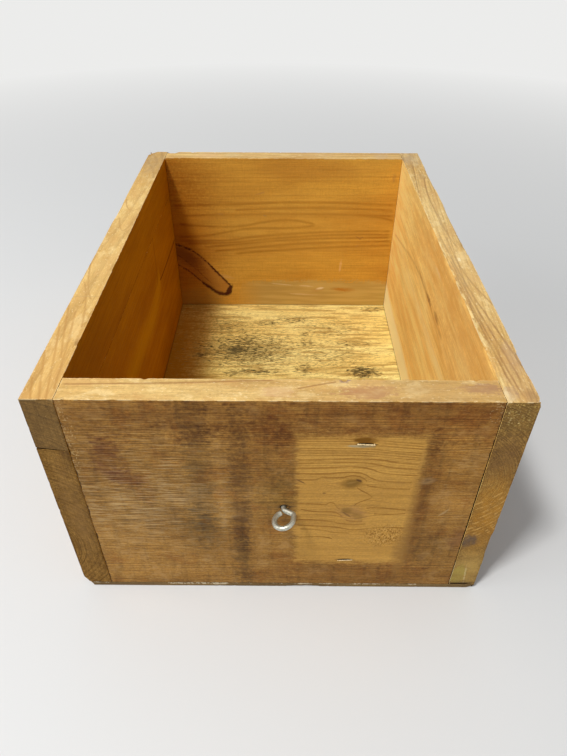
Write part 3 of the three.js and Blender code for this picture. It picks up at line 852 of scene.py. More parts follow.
wood = Wood("back_wood", 0, (1, 1), low, high, 2)
wood.grow((245, 124.5), (0, 0.005), 3.2, bend=2.5)
wood.covered(wood.end_flats)
inner_back = wood.tone(honey_early, honey_late, 0.22, 0.24, 0.12)
chatter = wood.step(wood.noise(1.6, 2, 9, detail=3, seed=21), 0.5, 0.66, 0, 0.15)
grime = wood.patch((-60, 0, 190), (110, 0, 34), soft=1.4, ragged=1.8)
inner_back = wood.mix(wood.both(grime, 0.5), inner_back, (0.82, 0.72, 0.62), "MULTIPLY")
inner_back = wood.mix(chatter, inner_back, (0.74, 0.62, 0.5), "MULTIPLY")
tongue = [
    [(-143, 151.5), (-130, 151.8), (-59, 153.6), (28, 156.4), (90, 155.6), (143, 153.2)],
    [(-64, 145.3), (28, 149.1), (90, 148.4), (143, 145.9)],
    [(-131, 137.9), (-38, 140.3), (51, 140.8), (143, 138.5)],
    [(51, 140.8), (104, 139.3), (143, 131.4)],
    [(-137, 127), (-106, 123.8), (-70, 123.1), (-25, 129.6), (6.5, 132.6), (24, 130.8), (42.5, 126.1)],
    [(-139, 108), (-102, 110.7), (-66, 117.3), (-38, 121.3), (-7, 121.5), (20, 122.6), (42.5, 125.7)],
    [(-140, 103.1), (-85, 103.4), (-39, 109.2), (7, 113.4), (79, 117.2), (143, 118.1)],
    [(-131, 99.2), (-76, 100.5), (-16, 106.3), (79, 112.8), (143, 113.2)],
    [(-108, 93.3), (-48, 99.7), (7, 105), (98, 108.5), (143, 109.3)],
    [(-95, 87.8), (-39, 93.7), (30, 100.2), (98, 102.6), (144, 103.9)],
    [(-67, 84.4), (7, 91), (80, 95.5), (144, 97.9)],
]
inner_back = wood.drawn(
    inner_back, "xz", tongue, (0.40, 0.165, 0.012), wood.wavering, 0.95,
    width=1.5, soft=1, ragged=1.8,
)
foot_line = [(-60, 30), (-44, 42), (-20, 43), (60, 44), (143, 43)]
sapwood = wood.under("xz", foot_line, soft=3.5, ragged=14)
sapwood = wood.both(sapwood, wood.step(wood.axes["x"], -74, -20, 0, 0.8))
sap_streaks = wood.step(wood.band, 0.35, 0.65)
sap_colour = wood.mix(sap_streaks, (0.62, 0.43, 0.135), (0.50, 0.335, 0.095))
inner_back = wood.mix(sapwood, inner_back, sap_colour)
corner_shade = wood.patch((-146, 0, 100), (50, 0, 130), soft=1.6, ragged=0.6)
inner_back = wood.mix(wood.both(corner_shade, 0.9), inner_back, (0.58, 0.36, 0.02), "MULTIPLY")
inner_marks = [
    # The first mark is painted shade in the lower left corner, beside the spike knot.
    (-116, 12, 30, 16, 0, 1.2, (0.50, 0.31, 0.07), 0.5),
    (-79, 50, 10, 2.4, 14, 0.8, (0.66, 0.40, 0.15), 0.4),
    (-2, 38, 13, 0.8, 5, 0.8, (0.90, 0.72, 0.42), 0.7),
    (31.5, 35.6, 9, 0.7, 4, 0.8, (0.88, 0.68, 0.38), 0.6),
    (51, 31.8, 5, 1.6, -10, 0.8, (0.97, 0.84, 0.58), 0.85),
    (47, 29, 8, 2.4, 0, 0.9, (0.52, 0.26, 0.07), 0.5),
    (85, 30, 16, 2.4, 3, 0.9, (0.52, 0.20, 0.02), 0.85),
    (30, 22, 18, 1.2, 3, 0.9, (0.85, 0.64, 0.33), 0.4),
    (97.8, 109, 3.4, 0.8, 30, 0.8, (0.30, 0.12, 0.03), 0.75),
    (102.5, 108, 3.4, 0.8, -35, 0.8, (0.30, 0.12, 0.03), 0.75),
    (98, 97, 2.5, 1.2, -30, 0.8, (0.42, 0.20, 0.06), 0.6),
    (-28.4, 168.2, 6, 1.1, -14, 0.9, (0.42, 0.20, 0.06), 0.6),
    (-80, 140.5, 4, 1.4, 0, 0.9, (0.40, 0.20, 0.06), 0.6),
    (-24, 138.5, 2.2, 1.1, 20, 0.9, (0.36, 0.18, 0.06), 0.7),
    (77.7, 67.2, 1.6, 8, 4, 0.9, (0.86, 0.56, 0.23), 0.65),
    (136, 188, 2, 5, 0, 0.9, (0.40, 0.20, 0.05), 0.5),
    (60, 200, 80, 14, 0, 1.4, (0.60, 0.30, 0.05), 0.4),
    (20, 125, 100, 46, 0, 1.2, (0.80, 0.47, 0.09), 0.3),
]
inner_back = wood.tinted(inner_back, "xz", inner_marks)
spike_upper = [
    (-144, 98), (-139, 96.6), (-129, 92.6), (-116, 84.1),
    (-103, 71.2), (-90, 55.4), (-81, 44.7), (-72, 34),
]
spike_lower = [
    (-144, 68), (-140, 65.7), (-126, 55.2), (-113, 41.7),
    (-99, 29.7), (-87.5, 22.5), (-78, 22.5), (-71, 32.5),
]
heart = wood.under("xz", spike_upper, soft=1.5, ragged=2.5)
below_heart = wood.under("xz", spike_lower, soft=1.5, ragged=2.5)
left_of_tip = wood.step(wood.axes["x"], -71, -73, 0, 0.55)
heart = wood.both(heart, wood.math("SUBTRACT", 1, below_heart), left_of_tip)
inner_back = wood.mix(heart, inner_back, (0.36, 0.13, 0.02))
core = wood.patch((-131, 0, 79.5), (24, 0, 9), 36, soft=1.2, ragged=1.2)
inner_back = wood.mix(wood.both(core, 0.65), inner_back, (0.15, 0.04, 0.006))
bark = wood.step(wood.noise(2.6, detail=4, rough=0.65, seed=22), 0.40, 0.52, 0.25, 0.95)
spike_streak = [(-144, 84), (-132, 74), (-118, 60), (-106, 46), (-96, 36)]
spike_edges = (
    (spike_upper[:6], 1.4, bark),
    (spike_lower[:5], 1.3, bark),
    (spike_streak, 1.0, wood.both(bark, 0.5)),
    (spike_upper[4:], 2.1, 0.95),
    (spike_lower[3:], 2.7, 0.95),
)
for points, width, strength in spike_edges:
    inner_back = wood.drawn(
        inner_back, "xz", [points], (0.07, 0.014, 0.003), strength, width=width, ragged=4
    )
spike_tip = wood.patch((-75.6, 0, 28.6), (9, 0, 3), -60, soft=0.6, ragged=0.8)
inner_back = wood.mix(wood.both(spike_tip, 0.95), inner_back, (0.06, 0.012, 0.004))
back_top_marks = [
    (-90, 220, 16, 7, 0, 1.2, (0.66, 0.36, 0.17), 0.5),
    (-62, 220, 9, 6, 0, 1.2, (0.55, 0.42, 0.24), 0.5),
    (40, 222, 24, 6, 0, 1.4, (0.70, 0.43, 0.22), 0.4),
    (118, 220, 10, 9, 0, 1.2, (0.50, 0.33, 0.20), 0.5),
    (0, 220, 150, 14, 0, 1.4, (0.88, 0.63, 0.28), 0.3),
]
back_top = wood.tinted(wood.pale(), "xy", back_top_marks)
dress(back, wood.finish(wood.aged(inner=inner_back, top=back_top)), "back_board")

# Left side: two boards edge-jointed along a line that slants down towards the inside. The upper one
# is greyer on its end grain and shows curved grain on its pale edge, the lower one has lost a
# corner at the front bottom. Both lap the ends of the front and back boards and are nailed to them.
# The inner faces of both left boards are painted in shade, a dark and saturated orange-brown.
side_cells = (0.0026, 0.0017, 0.0026)
joint_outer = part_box("left_side_lower_board")[1][2]
joint_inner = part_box("left_side_upper_board")[0][2]
joint_gap = 0.0003
joint_open = 0.0008
joint_fall = joint_outer + joint_gap - joint_inner
nail_pocket = 0.0036
nail_pocket_depth = 0.0017
side_rag = 0.6
break_ragged = 0.0006


def middle_of(node):
    """The middle of a CAD node's box."""
    low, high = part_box(node)
    return (Vector(low) + Vector(high)) / 2


def joint_height(x, low, high):
    """Height of the joint line of the two left boards across their thickness."""
    return joint_outer + joint_gap - joint_fall * (x - low[0]) / (high[0] - low[0])


def nail_holes(board, low, high, side, inward):
    """Pockets for the corner nails' heads that lie within a board."""
    holes = []
    for end in ("front", "back"):
        for number in range(1, 5):
            place = middle_of(f"corner_nail_{end}_{side}_{number}")
            place.x = low[0] if inward > 0 else high[0]
            if low[2] < place.z < high[2]:
                holes.append(peg(place, (inward, 0, 0), nail_pocket, nail_pocket_depth, ragged=0.25))
    drill(board, holes)


def behind_end_boards(wood):
    """The part of a side's inner face that the front or back board stands against."""
    from_middle = wood.math("ABSOLUTE", wood.axes["y"])
    past_inside = wood.step(from_middle, inner_y - 0.1, inner_y + 0.4)
    return wood.both(wood.inner_flat, past_inside)


def break_corner(board, place, inward):
    """Breaks a corner off a board along a rough slanted face."""
    way = Vector(inward).normalized()
    size = 0.04
    bpy.ops.object.select_all(action="DESELECT")
    bpy.ops.mesh.primitive_cube_add(
        size=size,
        location=Vector(place) - way * size / 2,
        rotation=way.to_track_quat("Z", "Y").to_euler(),
    )
    cutter = settle()
    bpy.ops.object.mode_set(mode="EDIT")
    bpy.ops.mesh.select_all(action="SELECT")
    bpy.ops.mesh.subdivide(number_cuts=28)
    bpy.ops.object.mode_set(mode="OBJECT")
    for vertex in cutter.data.vertices:
        here = vertex.co.copy()
        splinter = noise.noise(Vector((here.x, here.y * 0.2, here.z)) * 700)
        vertex.co += way * break_ragged * (splinter + 0.8 * noise.noise(here * 180))
    drill(board, [cutter])


low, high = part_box("left_side_upper_board")
left_upper_knocks = [
    ((-143, -169, 211.5), (2.5, 4, 2.5), 1.0),
    ((-143, -60, 211.5), (1.2, 9, 1.5), 0.8),
    ((-165, 60, 211.5), (2, 30, 2), 0.6),
    ((-165, 231, 211.5), (9, 12, 5), 2.2),
]
left_upper = worn_board(
    "worn_left_upper_board", low, high, side_cells, side_rag, left_upper_knocks
)
for vertex in left_upper.data.vertices:
    foot = joint_height(vertex.co.x, low, high)
    share = (high[2] - vertex.co.z) / (high[2] - low[2])
    vertex.co.z = high[2] - share * (high[2] - foot)
nail_holes(left_upper, low, high, "left", 1)

wood = Wood("left_upper_wood", 1, (0, -1), low, high, 3)
wood.grow((-190, 120), (0.02, 0.02), 3.2, bend=4)
wood.covered(behind_end_boards(wood))
left_top_lines = [
    [(-231, -151.3), (-216, -155.5), (-198, -159.7), (-177, -164.8)],
    [(-231, -147.5), (-205, -152), (-176, -157.5), (-148, -163)],
    [(-222, -145), (-190, -148.5), (-158, -152.5), (-128, -157)],
    [(-231, -157), (-222, -159.5), (-208, -163)],
    [(-189, -150), (-158, -157), (-134, -161.5), (-116, -165)],
    [(-152, -146), (-128, -150), (-104, -155.5), (-84, -162)],
    [(-113, -149), (-101, -154), (-76, -160.5), (-52, -165)],
    [(9, -150.5), (12, -152.5), (18, -155), (39, -160)],
    [(9, -150.5), (14, -148.5), (21, -146.5), (30, -145.5)],
    [(56, -151.5), (57, -153.5), (62, -157), (85, -163)],
    [(56, -151.5), (58, -148), (62, -144)],
]
left_top = wood.drawn(
    wood.pale(), "yx", left_top_lines, (0.38, 0.17, 0.04), wood.wavering, 0.85,
    width=0.75, soft=1, ragged=1.2,
)
left_top_bands = [
    [(143, -145.5), (170, -150.5), (191, -159), (203, -162)],
    [(160, -160), (176, -153), (190, -150), (206, -153), (218, -159)],
    [(197, -144), (214, -147), (231, -151)],
]
left_top = wood.drawn(
    left_top, "yx", left_top_bands, (0.36, 0.19, 0.07), 0.5, width=1.6, ragged=1.4
)
left_top_marks = [
    (-165, 191, 4, 14, 0, 1.0, (0.36, 0.20, 0.09), 0.6),
    (0, -108, 0, 0.5, 0, 0.6, (0.40, 0.24, 0.10), 0.6),
    (-143, -169, 3, 5, 0, 1.0, (0.34, 0.18, 0.08), 0.6),
    (-154, 195, 12, 46, 0, 1.4, (0.46, 0.31, 0.15), 0.65),
    (-154, 0, 14, 160, 0, 1.4, (0.93, 0.66, 0.27), 0.35),
    (-154, -205, 14, 60, 0, 1.4, (0.74, 0.43, 0.14), 0.4),
]
left_top = wood.tinted(left_top, "xy", left_top_marks)
shadow_shine = 0.04
left_upper_end = wood.mix(0.35, wood.end_grain(), (0.20, 0.135, 0.065))
pin_specks = wood.step(wood.noise(0.8, detail=1, seed=44), 0.72, 0.78)
left_upper_end = wood.mix(wood.both(pin_specks, 0.5), left_upper_end, (0.62, 0.48, 0.22))
# Painted shade: the inner face's wood is given a dark, saturated colour, as of a wall in shadow.
shaded_left_inner_early = ((0.45, 0.172, 0.0008), (0.37, 0.132, 0.0005))
shaded_left_inner_late = (0.26, 0.08, 0.0004)
shaded_left_inner = wood.tone(shaded_left_inner_early, shaded_left_inner_late, 0.4, 0.22, 0.1)
finish = wood.finish(wood.aged(inner=shaded_left_inner, top=left_top, end=left_upper_end), shadow_shine)
dress(left_upper, finish, "left_side_upper_board")

low, high = snug("left_side_lower_board")
left_lower_knocks = [((-143, -231, 155), (1.5, 1.5, 5), 0.6)]
left_lower = worn_board(
    "worn_left_lower_board", low, high, side_cells, side_rag, left_lower_knocks
)
for vertex in left_lower.data.vertices:
    inward = (vertex.co.x - low[0]) / (high[0] - low[0])
    head = joint_height(vertex.co.x, low, high)
    head -= joint_open * (1 - 1.15 * inward)
    share = (vertex.co.z - low[2]) / (high[2] - low[2])
    vertex.co.z = low[2] + share * (head - low[2])
nail_holes(left_lower, low, high, "left", 1)
broken_corner = (-0.1627, -0.2263, 0.0047)
broken_face = (2, 1, 1)
break_corner(left_lower, broken_corner, broken_face)

wood = Wood("left_lower_wood", 1, (0, -1), low, high, 4)
wood.grow((-200, 60), (0.01, 0.015), 3.0, bend=4)
wood.covered(behind_end_boards(wood))
wood.covered(wood.flat_on(2, 1))
# Painted shade again on this board's inner face. The real crack, a painted band of light and a painted
# shadow edge are drawn on it.
shaded_left_inner = wood.tone(shaded_left_inner_early, shaded_left_inner_late, 0.4, 0.22, 0.1)
crack = [(92, 110), (108, 107.4), (134, 106), (178, 105.4), (208, 106)]
shaded_left_inner = wood.drawn(
    shaded_left_inner, "yz", [crack], (0.05, 0.010, 0.001), 0.9, width=0.8, ragged=0.5
)
lit_band = [(-90, 100), (-66, 99.8), (-16, 99), (40, 95), (80, 104), (100, 118)]
shaded_left_inner = wood.drawn(
    shaded_left_inner, "yz", [lit_band], (0.56, 0.27, 0.0008), 0.5, width=11, soft=1, ragged=6
)
# A painted shadow edge: a faint dark upright line across the shaded wall.
painted_shadow_edge = [(108, 82), (128, 86), (151, 88), (175, 89)]
shaded_left_inner = wood.drawn(
    shaded_left_inner, "zy", [painted_shadow_edge], (0.14, 0.04, 0.001), 0.35, width=1.4, ragged=1.4
)
lower_end_marks = [
    (-146, 158, 4, 9, 0, 1.0, (0.10, 0.05, 0.02), 0.6),
    (-152, 100, 8, 50, 0, 1.4, (0.34, 0.19, 0.065), 0.5),
]
left_lower_end = wood.tinted(wood.end_grain(), "xz", lower_end_marks)
finish = wood.finish(wood.aged(inner=shaded_left_inner, end=left_lower_end), shadow_shine)
dress(left_lower, finish, "left_side_lower_board")

# Right side: one board. Its pale edge shows long dark grain lines that cross it at a slant, its end
# grain has yellow specks at the top, curved rings in the middle and a yellow-green patch below.
low, high = snug("right_side_board")
right_knocks = [
    ((165, 20, 211.5), (2.5, 60, 2.5), 1.0),
    ((165, 150, 211.5), (2.2, 40, 2.2), 0.8),
    ((165, -190, 211.5), (2, 18, 2), 0.7),
    ((165, -231, 211.5), (5, 5, 3), 1.2),
    ((143, -185, 211.5), (1.5, 22, 1.5), 1.2),
    ((143, -120, 211.5), (1.5, 20, 1.5), 1.1),
    ((143, -60, 211.5), (1.8, 24, 1.8), 1.4),
    ((143, 10, 211.5), (1.5, 20, 1.5), 1.2),
    ((150, -231, 5), (14, 4, 1.4), 0.9),
    ((165, -231, 60), (1.6, 1.6, 18), 0.8),
]
right = worn_board("worn_right_board", low, high, side_cells, side_rag, right_knocks)
nail_holes(right, low, high, "right", -1)

right_end_early = ((0.345, 0.19, 0.045), (0.25, 0.13, 0.03))
right_end_late = (0.095, 0.045, 0.012)
wood = Wood("right_wood", 1, (0, 1), low, high, 5)
wood.grow((119, 142), (0.02, 0.03), 1.9, bend=2, rise=0.4)
wood.covered(behind_end_boards(wood))
right_top_lines = [
    [(-228, 155), (-204, 152.7), (-173, 151), (-134, 148.5), (-89, 146.3), (-40, 144.3)],
    [(-198, 164), (-158, 159), (-131, 155.7), (-101, 152), (-52, 149), (8, 147)],
    [(-119, 165), (-104, 161), (-76, 155), (-40, 152), (2, 152.7)],
    [(24, 152.7), (57, 153.5), (93, 153.5), (130, 156), (148, 159), (154, 164)],
    [(-22, 159), (8, 155), (54, 154.7)],
    [(105, 145), (130, 147), (160, 149.5), (202, 153.5)],
    [(-226, 151.5), (-200, 149.6), (-160, 148), (-110, 145.6), (-70, 144.2)],
    [(-214, 158.5), (-180, 155.5), (-140, 152), (-96, 148.8), (-44, 146.6)],
]
right_top = wood.drawn(
    wood.pale(), "yx", right_top_lines, (0.29, 0.13, 0.035), wood.wavering, 0.8,
    width=0.7, soft=0.9, ragged=1.3,
)
torn_arris = [(-231, 145), (-150, 144.6), (-60, 144.2), (40, 144), (100, 143.6)]
torn_off = wood.step(wood.noise(4, 1, 3, detail=3, seed=62), 0.47, 0.57, 0, 0.7)
right_top = wood.drawn(
    right_top, "yx", [torn_arris], (0.92, 0.70, 0.30), torn_off, width=0.9, ragged=2.2
)
right_top_marks = [
    (148, -222, 4, 7, 0, 1.0, (0.40, 0.28, 0.22), 0.6),
    (160, -185, 4, 16, 0, 1.2, (0.46, 0.31, 0.20), 0.5),
    (157, -212, 9, 26, 0, 1.3, (0.48, 0.27, 0.13), 0.45),
    (154.7, -43, 1.2, 3, 0, 0.8, (1.0, 0.86, 0.55), 0.8),
    (156, 152, 4, 8, 0, 1.0, (0.44, 0.27, 0.13), 0.5),
    (154, 210, 12, 22, 0, 1.4, (0.46, 0.36, 0.24), 0.5),
    (161, -224, 4, 6, 0, 0.9, (0.36, 0.20, 0.08), 0.6),
    (145, -226, 3, 6, 0, 0.9, (0.92, 0.72, 0.40), 0.7),
    (154, -20, 16, 110, 0, 1.4, (0.92, 0.68, 0.32), 0.3),
]
right_top = wood.tinted(right_top, "xy", right_top_marks)
right_end = wood.tone(right_end_early, right_end_late, 0.7, 0.55, 0.75)
yellow_specks = wood.step(wood.noise(1.0, 0, 1.8, detail=2, seed=61), 0.56, 0.66)
near_top = wood.patch((154, 0, 200), (15, 0, 15), soft=0.6)
right_end = wood.mix(wood.both(yellow_specks, near_top, 0.8), right_end, (0.68, 0.47, 0.13))
bright_specks = wood.step(wood.noise(0.9, 0, 2.2, detail=1, seed=65), 0.64, 0.70, 0, 0.9)
speck_row = wood.patch((151, 0, 198), (13, 0, 6), soft=1.0, ragged=0.8)
right_end_marks = [
    (154, 28, 14, 26, 0, 1.2, (0.64, 0.41, 0.11), 0.6),
    (154, 7.4, 12, 0.8, 0, 0.8, (0.05, 0.03, 0.012), 0.85),
    (154, 196, 15, 16, 0, 1.0, (0.16, 0.085, 0.02), 0.6),
    (154, 160, 10, 22, 0, 1.4, (0.20, 0.10, 0.035), 0.5),
    (155, 98, 14, 40, 0, 1.2, (0.56, 0.25, 0.025), 0.6),
]
right_end = wood.tinted(right_end, "xz", right_end_marks)
right_end = wood.mix(wood.both(bright_specks, speck_row), right_end, (0.90, 0.68, 0.28))
end_rings = [
    [(142, height), (150, height + 5), (158, height + 12), (166, height + 22)]
    for height in (63, 67, 71, 75.5, 80, 85, 90, 96, 103, 110)
]
ring_breaks = wood.step(wood.noise(5, detail=3, seed=63), 0.42, 0.58, 0, 0.7)
right_end = wood.drawn(
    right_end, "xz", end_rings, (0.70, 0.40, 0.11), ring_breaks, width=0.7, soft=1, ragged=3
)
low_end_marks = [
    (147, 66, 8, 7, -40, 0.8, (0.12, 0.08, 0.055), 0.9),
    (148.5, 20, 6, 13, 0, 0.4, (0.40, 0.32, 0.06), 0.6),
    (154, 20, 0.7, 12, -5, 0.8, (0.80, 0.66, 0.36), 0.4),
]
right_end = wood.tinted(right_end, "xz", low_end_marks)
right_early = ((1.0, 0.70, 0.225), (0.98, 0.605, 0.167))
right_inner = wood.tone(right_early, (0.68, 0.34, 0.06), 0.5, 0.3, 0.16)
right_inner_marks = [
    (-28, 189.6, 11, 1.4, 0, 0.8, (1.0, 0.78, 0.42), 0.8),
    (0, 124, 260, 2.2, 0, 1.2, (0.95, 0.66, 0.27), 0.45),
    (20, 152, 50, 2.6, 0, 1.2, (0.56, 0.27, 0.06), 0.6),
    (-12.5, 152, 11, 2.6, 0, 0.9, (0.15, 0.06, 0.02), 1.0),
    (-48.5, 154, 10, 3, 0, 0.9, (0.15, 0.06, 0.02), 1.0),
    (-70, 196, 170, 36, 0, 1.4, (0.74, 0.34, 0.07), 0.6),
    (-100, 150, 90, 14, 0, 1.4, (0.78, 0.38, 0.08), 0.5),
    (-20, 120, 90, 5, 0, 1.2, (1.0, 0.76, 0.32), 0.5),
    (0, 60, 260, 14, 0, 1.4, (0.76, 0.42, 0.10), 0.4),
]
warm = wood.noise(9, 1, 9, detail=3, rough=0.55, seed=64)
right_inner = wood.mix(wood.step(warm, 0.5, 0.64, 0, 0.5), right_inner, (0.84, 0.44, 0.09))
right_inner = wood.mix(wood.step(warm, 0.48, 0.34, 0, 0.45), right_inner, (1.0, 0.74, 0.27))
right_inner = wood.tinted(right_inner, "yz", right_inner_marks)
grain_line = [(-80, 150), (-53, 149), (-26, 150), (3, 152), (69, 147), (130, 135), (195, 121)]
right_inner = wood.drawn(
    right_inner, "yz", [grain_line], (0.44, 0.20, 0.05), 0.35, width=1.6, soft=1, ragged=3
)
foot_edge = [(-231, 35), (10, 34.5), (78, 35.4), (136, 35.4), (194, 39.9), (231, 42)]
foot_strip = wood.under("yz", foot_edge, soft=7, ragged=8)
right_inner = wood.mix(wood.both(foot_strip, 0.85), right_inner, (1.0, 0.86, 0.46))
far_end = wood.step(wood.axes["y"], 60, 200, 0, 0.8)
right_inner = wood.mix(far_end, right_inner, (1.1, 1.2, 1.35), "MULTIPLY")
finish = wood.finish(wood.aged(inner=right_inner, top=right_top, end=right_end, rubbed=0.5))
dress(right, finish, "right_side_board")

# Bottom: a thin sheet, nailed up under the boards. Its floor inside the box is yellow, with black
# mildew in broken streaks along the grain. Its front edge is dark and splintered white in places.
# Along its left wall the floor is painted in the wall's shadow.
sheet_cells = (0.0024, 0.0024, 0.0017)
low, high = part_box("bottom_panel")
sheet_knocks = [
    ((-75, -231, 5), (30, 2, 2), 0.9),
    ((20, -231, 0), (14, 2, 2), 0.9),
    ((80, -231, 5), (20, 2, 2), 0.7),
    ((165, -231, 0), (5, 6, 4), 1.6),
    ((165, 100, 0), (3, 40, 3), 1.0),
]
sheet = worn_board("worn_bottom_sheet", low, high, sheet_cells, 1.3, sheet_knocks)
break_corner(sheet, broken_corner, broken_face)
sheet_nails = [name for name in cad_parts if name.startswith("bottom_nail_")]
sheet_pocket = 0.0027
sheet_pocket_depth = 0.0016
sheet_pockets = []
for name in sheet_nails:
    place = middle_of(name)
    place.z = 0
    sheet_pockets.append(peg(place, (0, 0, 1), sheet_pocket, sheet_pocket_depth, ragged=0.2))
drill(sheet, sheet_pockets)

wood = Wood("sheet_wood", 0, (2, -1), low, high, 6)
wood.grow((0, -400), (0.2, 0.006), 1.2, bend=6)
wood.late = wood.both(wood.late, 0.3)
sheet_early = ((1.0, 0.86, 0.34), (0.95, 0.74, 0.25))
sheet_face = wood.tone(sheet_early, (0.60, 0.36, 0.08), 0.5, 0.24, 0.16)
tan = wood.step(wood.noise(5, 0, 9, detail=5, rough=0.62, seed=74), 0.46, 0.62, 0, 0.8)
sheet_face = wood.mix(tan, sheet_face, (0.52, 0.315, 0.075))
# Painted shadow of the left wall on the floor: a soft, wide darkening and a dark band along the wall.
painted_wall_penumbra = wood.patch((-143, 0, 0), (90, 260, 0), soft=1.4, ragged=1.4)
sheet_face = wood.mix(wood.both(painted_wall_penumbra, 0.8), sheet_face, (0.80, 0.68, 0.42), "MULTIPLY")
painted_wall_shadow = wood.patch((-143, 0, 0), (40, 260, 0), soft=1.3, ragged=1.0)
sheet_face = wood.mix(painted_wall_shadow, sheet_face, (0.42, 0.175, 0.001))
mildew = [
    (-48, 102, 56, 34, 1.6, 0.85),
    (-58, 100, 18, 9, 1.2, 1.2),
    (-102, 90, 12, 6, 1.2, 0.75),
    (17, 171, 22, 9, 1.4, 0.6),
    (125, 198, 14, 7, 1.2, 0.55),
    (32, 114, 12, 12, 1.4, 0.6),
    (30, 136, 6, 6, 1.2, 0.6),
    (99, 57, 20, 11, 1.0, 1.0),
    (27, 63, 12, 12, 1.4, 0.6),
    (-35, 56, 30, 6, 1.2, 0.75),
    (-60, 52, 14, 5, 1.2, 0.7),
    (-72, 150, 28, 26, 1.4, 0.55),
    (-21, 162, 18, 7, 1.2, 0.6),
    (89, 115, 24, 8, 1.4, 0.5),
    (60, 90, 44, 30, 1.6, 0.4),
    (60, 150, 40, 24, 1.6, 0.35),
    (-60, -60, 70, 60, 1.6, 0.5),
    (80, -120, 50, 40, 1.6, 0.5),
]
growth = wood.strongest("xy", mildew, ragged=1.1)
specks = wood.noise(2.0, 0, 2.6, detail=5, rough=0.74, seed=71)
dashes = wood.noise(1.0, 0, 7, detail=3, rough=0.65, seed=72)
specks = wood.math("MULTIPLY_ADD", dashes, 0.5, wood.both(specks, 0.5))
growth = wood.math("MULTIPLY_ADD", growth, 0.16, specks)
mildewed = wood.step(growth, 0.575, 0.68)
veil = wood.step(growth, 0.50, 0.64, 0, 0.75)
inside = wood.patch((0, 0, 0), (inner_x, inner_y, 0), soft=0.02, ragged=0.0, square=True)
sheet_face = wood.mix(wood.both(veil, inside), sheet_face, (0.46, 0.31, 0.08))
sheet_face = wood.mix(wood.both(mildewed, inside, 0.92), sheet_face, (0.060, 0.045, 0.018))
sheet_below = wood.tone(((0.52, 0.34, 0.14), (0.44, 0.27, 0.105)), (0.30, 0.17, 0.06), 0.5, 0.2, 0.2)
sheet_below = wood.mix(tan, sheet_below, (0.30, 0.175, 0.065))
scuffs = wood.noise(22, 0, 1.6, detail=6, rough=0.68, seed=75)
sheet_below = wood.mix(wood.step(scuffs, 0.5, 0.66, 0, 0.6), sheet_below, (0.22, 0.13, 0.05))
sheet_below = wood.mix(wood.step(scuffs, 0.45, 0.34, 0, 0.5), sheet_below, (0.62, 0.44, 0.21))
sheet_sides = wood.tone(((0.25, 0.155, 0.055), (0.18, 0.11, 0.04)), (0.10, 0.06, 0.022), 0.5, 0.4, 0.4)
splinters = [
    (-70, 3.8, 28, 1.2, 0.8, 1.2),
    (-52, 3.6, 9, 1.5, 0.8, 1.4),
    (20, 4, 8, 1, 0.8, 1.2),
    (40, 4.2, 6, 0.8, 0.8, 1.0),
    (74, 4.2, 14, 1, 0.8, 1.2),
    (113, 4.2, 5, 0.8, 0.8, 1.0),
    (-152, 4.3, 9, 0.7, 0.8, 1.0),
    (0, 4.4, 150, 0.8, 0.8, 0.45),
]
torn = wood.strongest("xz", splinters, ragged=0.4)
flakes = wood.noise(1.4, 0, 2.2, detail=4, rough=0.7, seed=73)
torn = wood.step(wood.math("MULTIPLY_ADD", torn, 0.2, flakes), 0.66, 0.76, 0, 0.85)
sheet_sides = wood.mix(torn, sheet_sides, (0.64, 0.54, 0.36))
upright = wood.math("SUBTRACT", 1, wood.math("ADD", wood.on_face(2, 1), wood.on_face(2, -1)))
sheet_face = wood.mix(inside, joint_dark, sheet_face)
sheet_colour = wood.mix(wood.top, sheet_below, sheet_face)
sheet_colour = wood.mix(upright, sheet_colour, sheet_sides)
dress(sheet, wood.finish(sheet_colour), "bottom_panel")

# Corner nails: sixteen wire nails, four to a corner, driven through the side boards into the ends
# of the front and back boards. Drawn steel, gone brown, with flat heads dented by the hammer.
nail_head_rim = 0.00035
nail_angle = math.radians(35)


def pick_faces(piece, wanted):
    """Selects the faces that pass a test, of a piece in edit mode."""
    bpy.ops.mesh.select_all(action="DESELECT")
    mesh = bmesh.from_edit_mesh(piece.data)
    for face in mesh.faces:
        face.select_set(wanted(face))
    bmesh.update_edit_mesh(piece.data)


def wire_nail(name, head_radius, head_thick, shank_radius, length, sides):
    """A wire nail down -Z: domed head with its top at 0, straight shank, tapered point."""
    bpy.ops.object.select_all(action="DESELECT")
    bpy.ops.mesh.primitive_cylinder_add(
        vertices=sides, radius=head_radius, depth=head_thick, location=(0, 0, -head_thick / 2)
    )
    nail = settle()
    nail.name = name
    bpy.ops.object.mode_set(mode="EDIT")
    bpy.ops.mesh.select_mode(type="FACE")
    pick_faces(nail, lambda face: face.normal.z < -0.9)
    bpy.ops.mesh.inset(thickness=head_radius - 1.5 * shank_radius)
    bpy.ops.mesh.inset(thickness=0.5 * shank_radius, depth=0.3 * head_thick)
    point = 2.6 * shank_radius
    for drop in (length - head_thick - point, point):
        bpy.ops.mesh.extrude_region_move(TRANSFORM_OT_translate={"value": (0, 0, -drop)})
    bpy.ops.transform.resize(value=(0.12, 0.12, 1))
    half_head = -0.5 * head_thick
    pick_faces(nail, lambda face: face.normal.z > 0.9 and face.calc_center_median().z > half_head)
    bpy.ops.mesh.inset(thickness=nail_head_rim, depth=0.4 * nail_head_rim)
    bpy.ops.mesh.inset(thickness=1.2 * nail_head_rim, depth=0.15 * nail_head_rim)
    bpy.ops.mesh.inset(thickness=2.4 * nail_head_rim)
    bpy.ops.object.mode_set(mode="OBJECT")
    top = max(vertex.co.z for vertex in nail.data.vertices)
    for vertex in nail.data.vertices:
        vertex.co.z -= top
        if vertex.co.z > -head_thick:
            dent = 0.05 * head_thick * noise.noise(vertex.co * 700)
            vertex.co.z += min(0, dent)
    crisp(nail, nail_angle)
    return nail


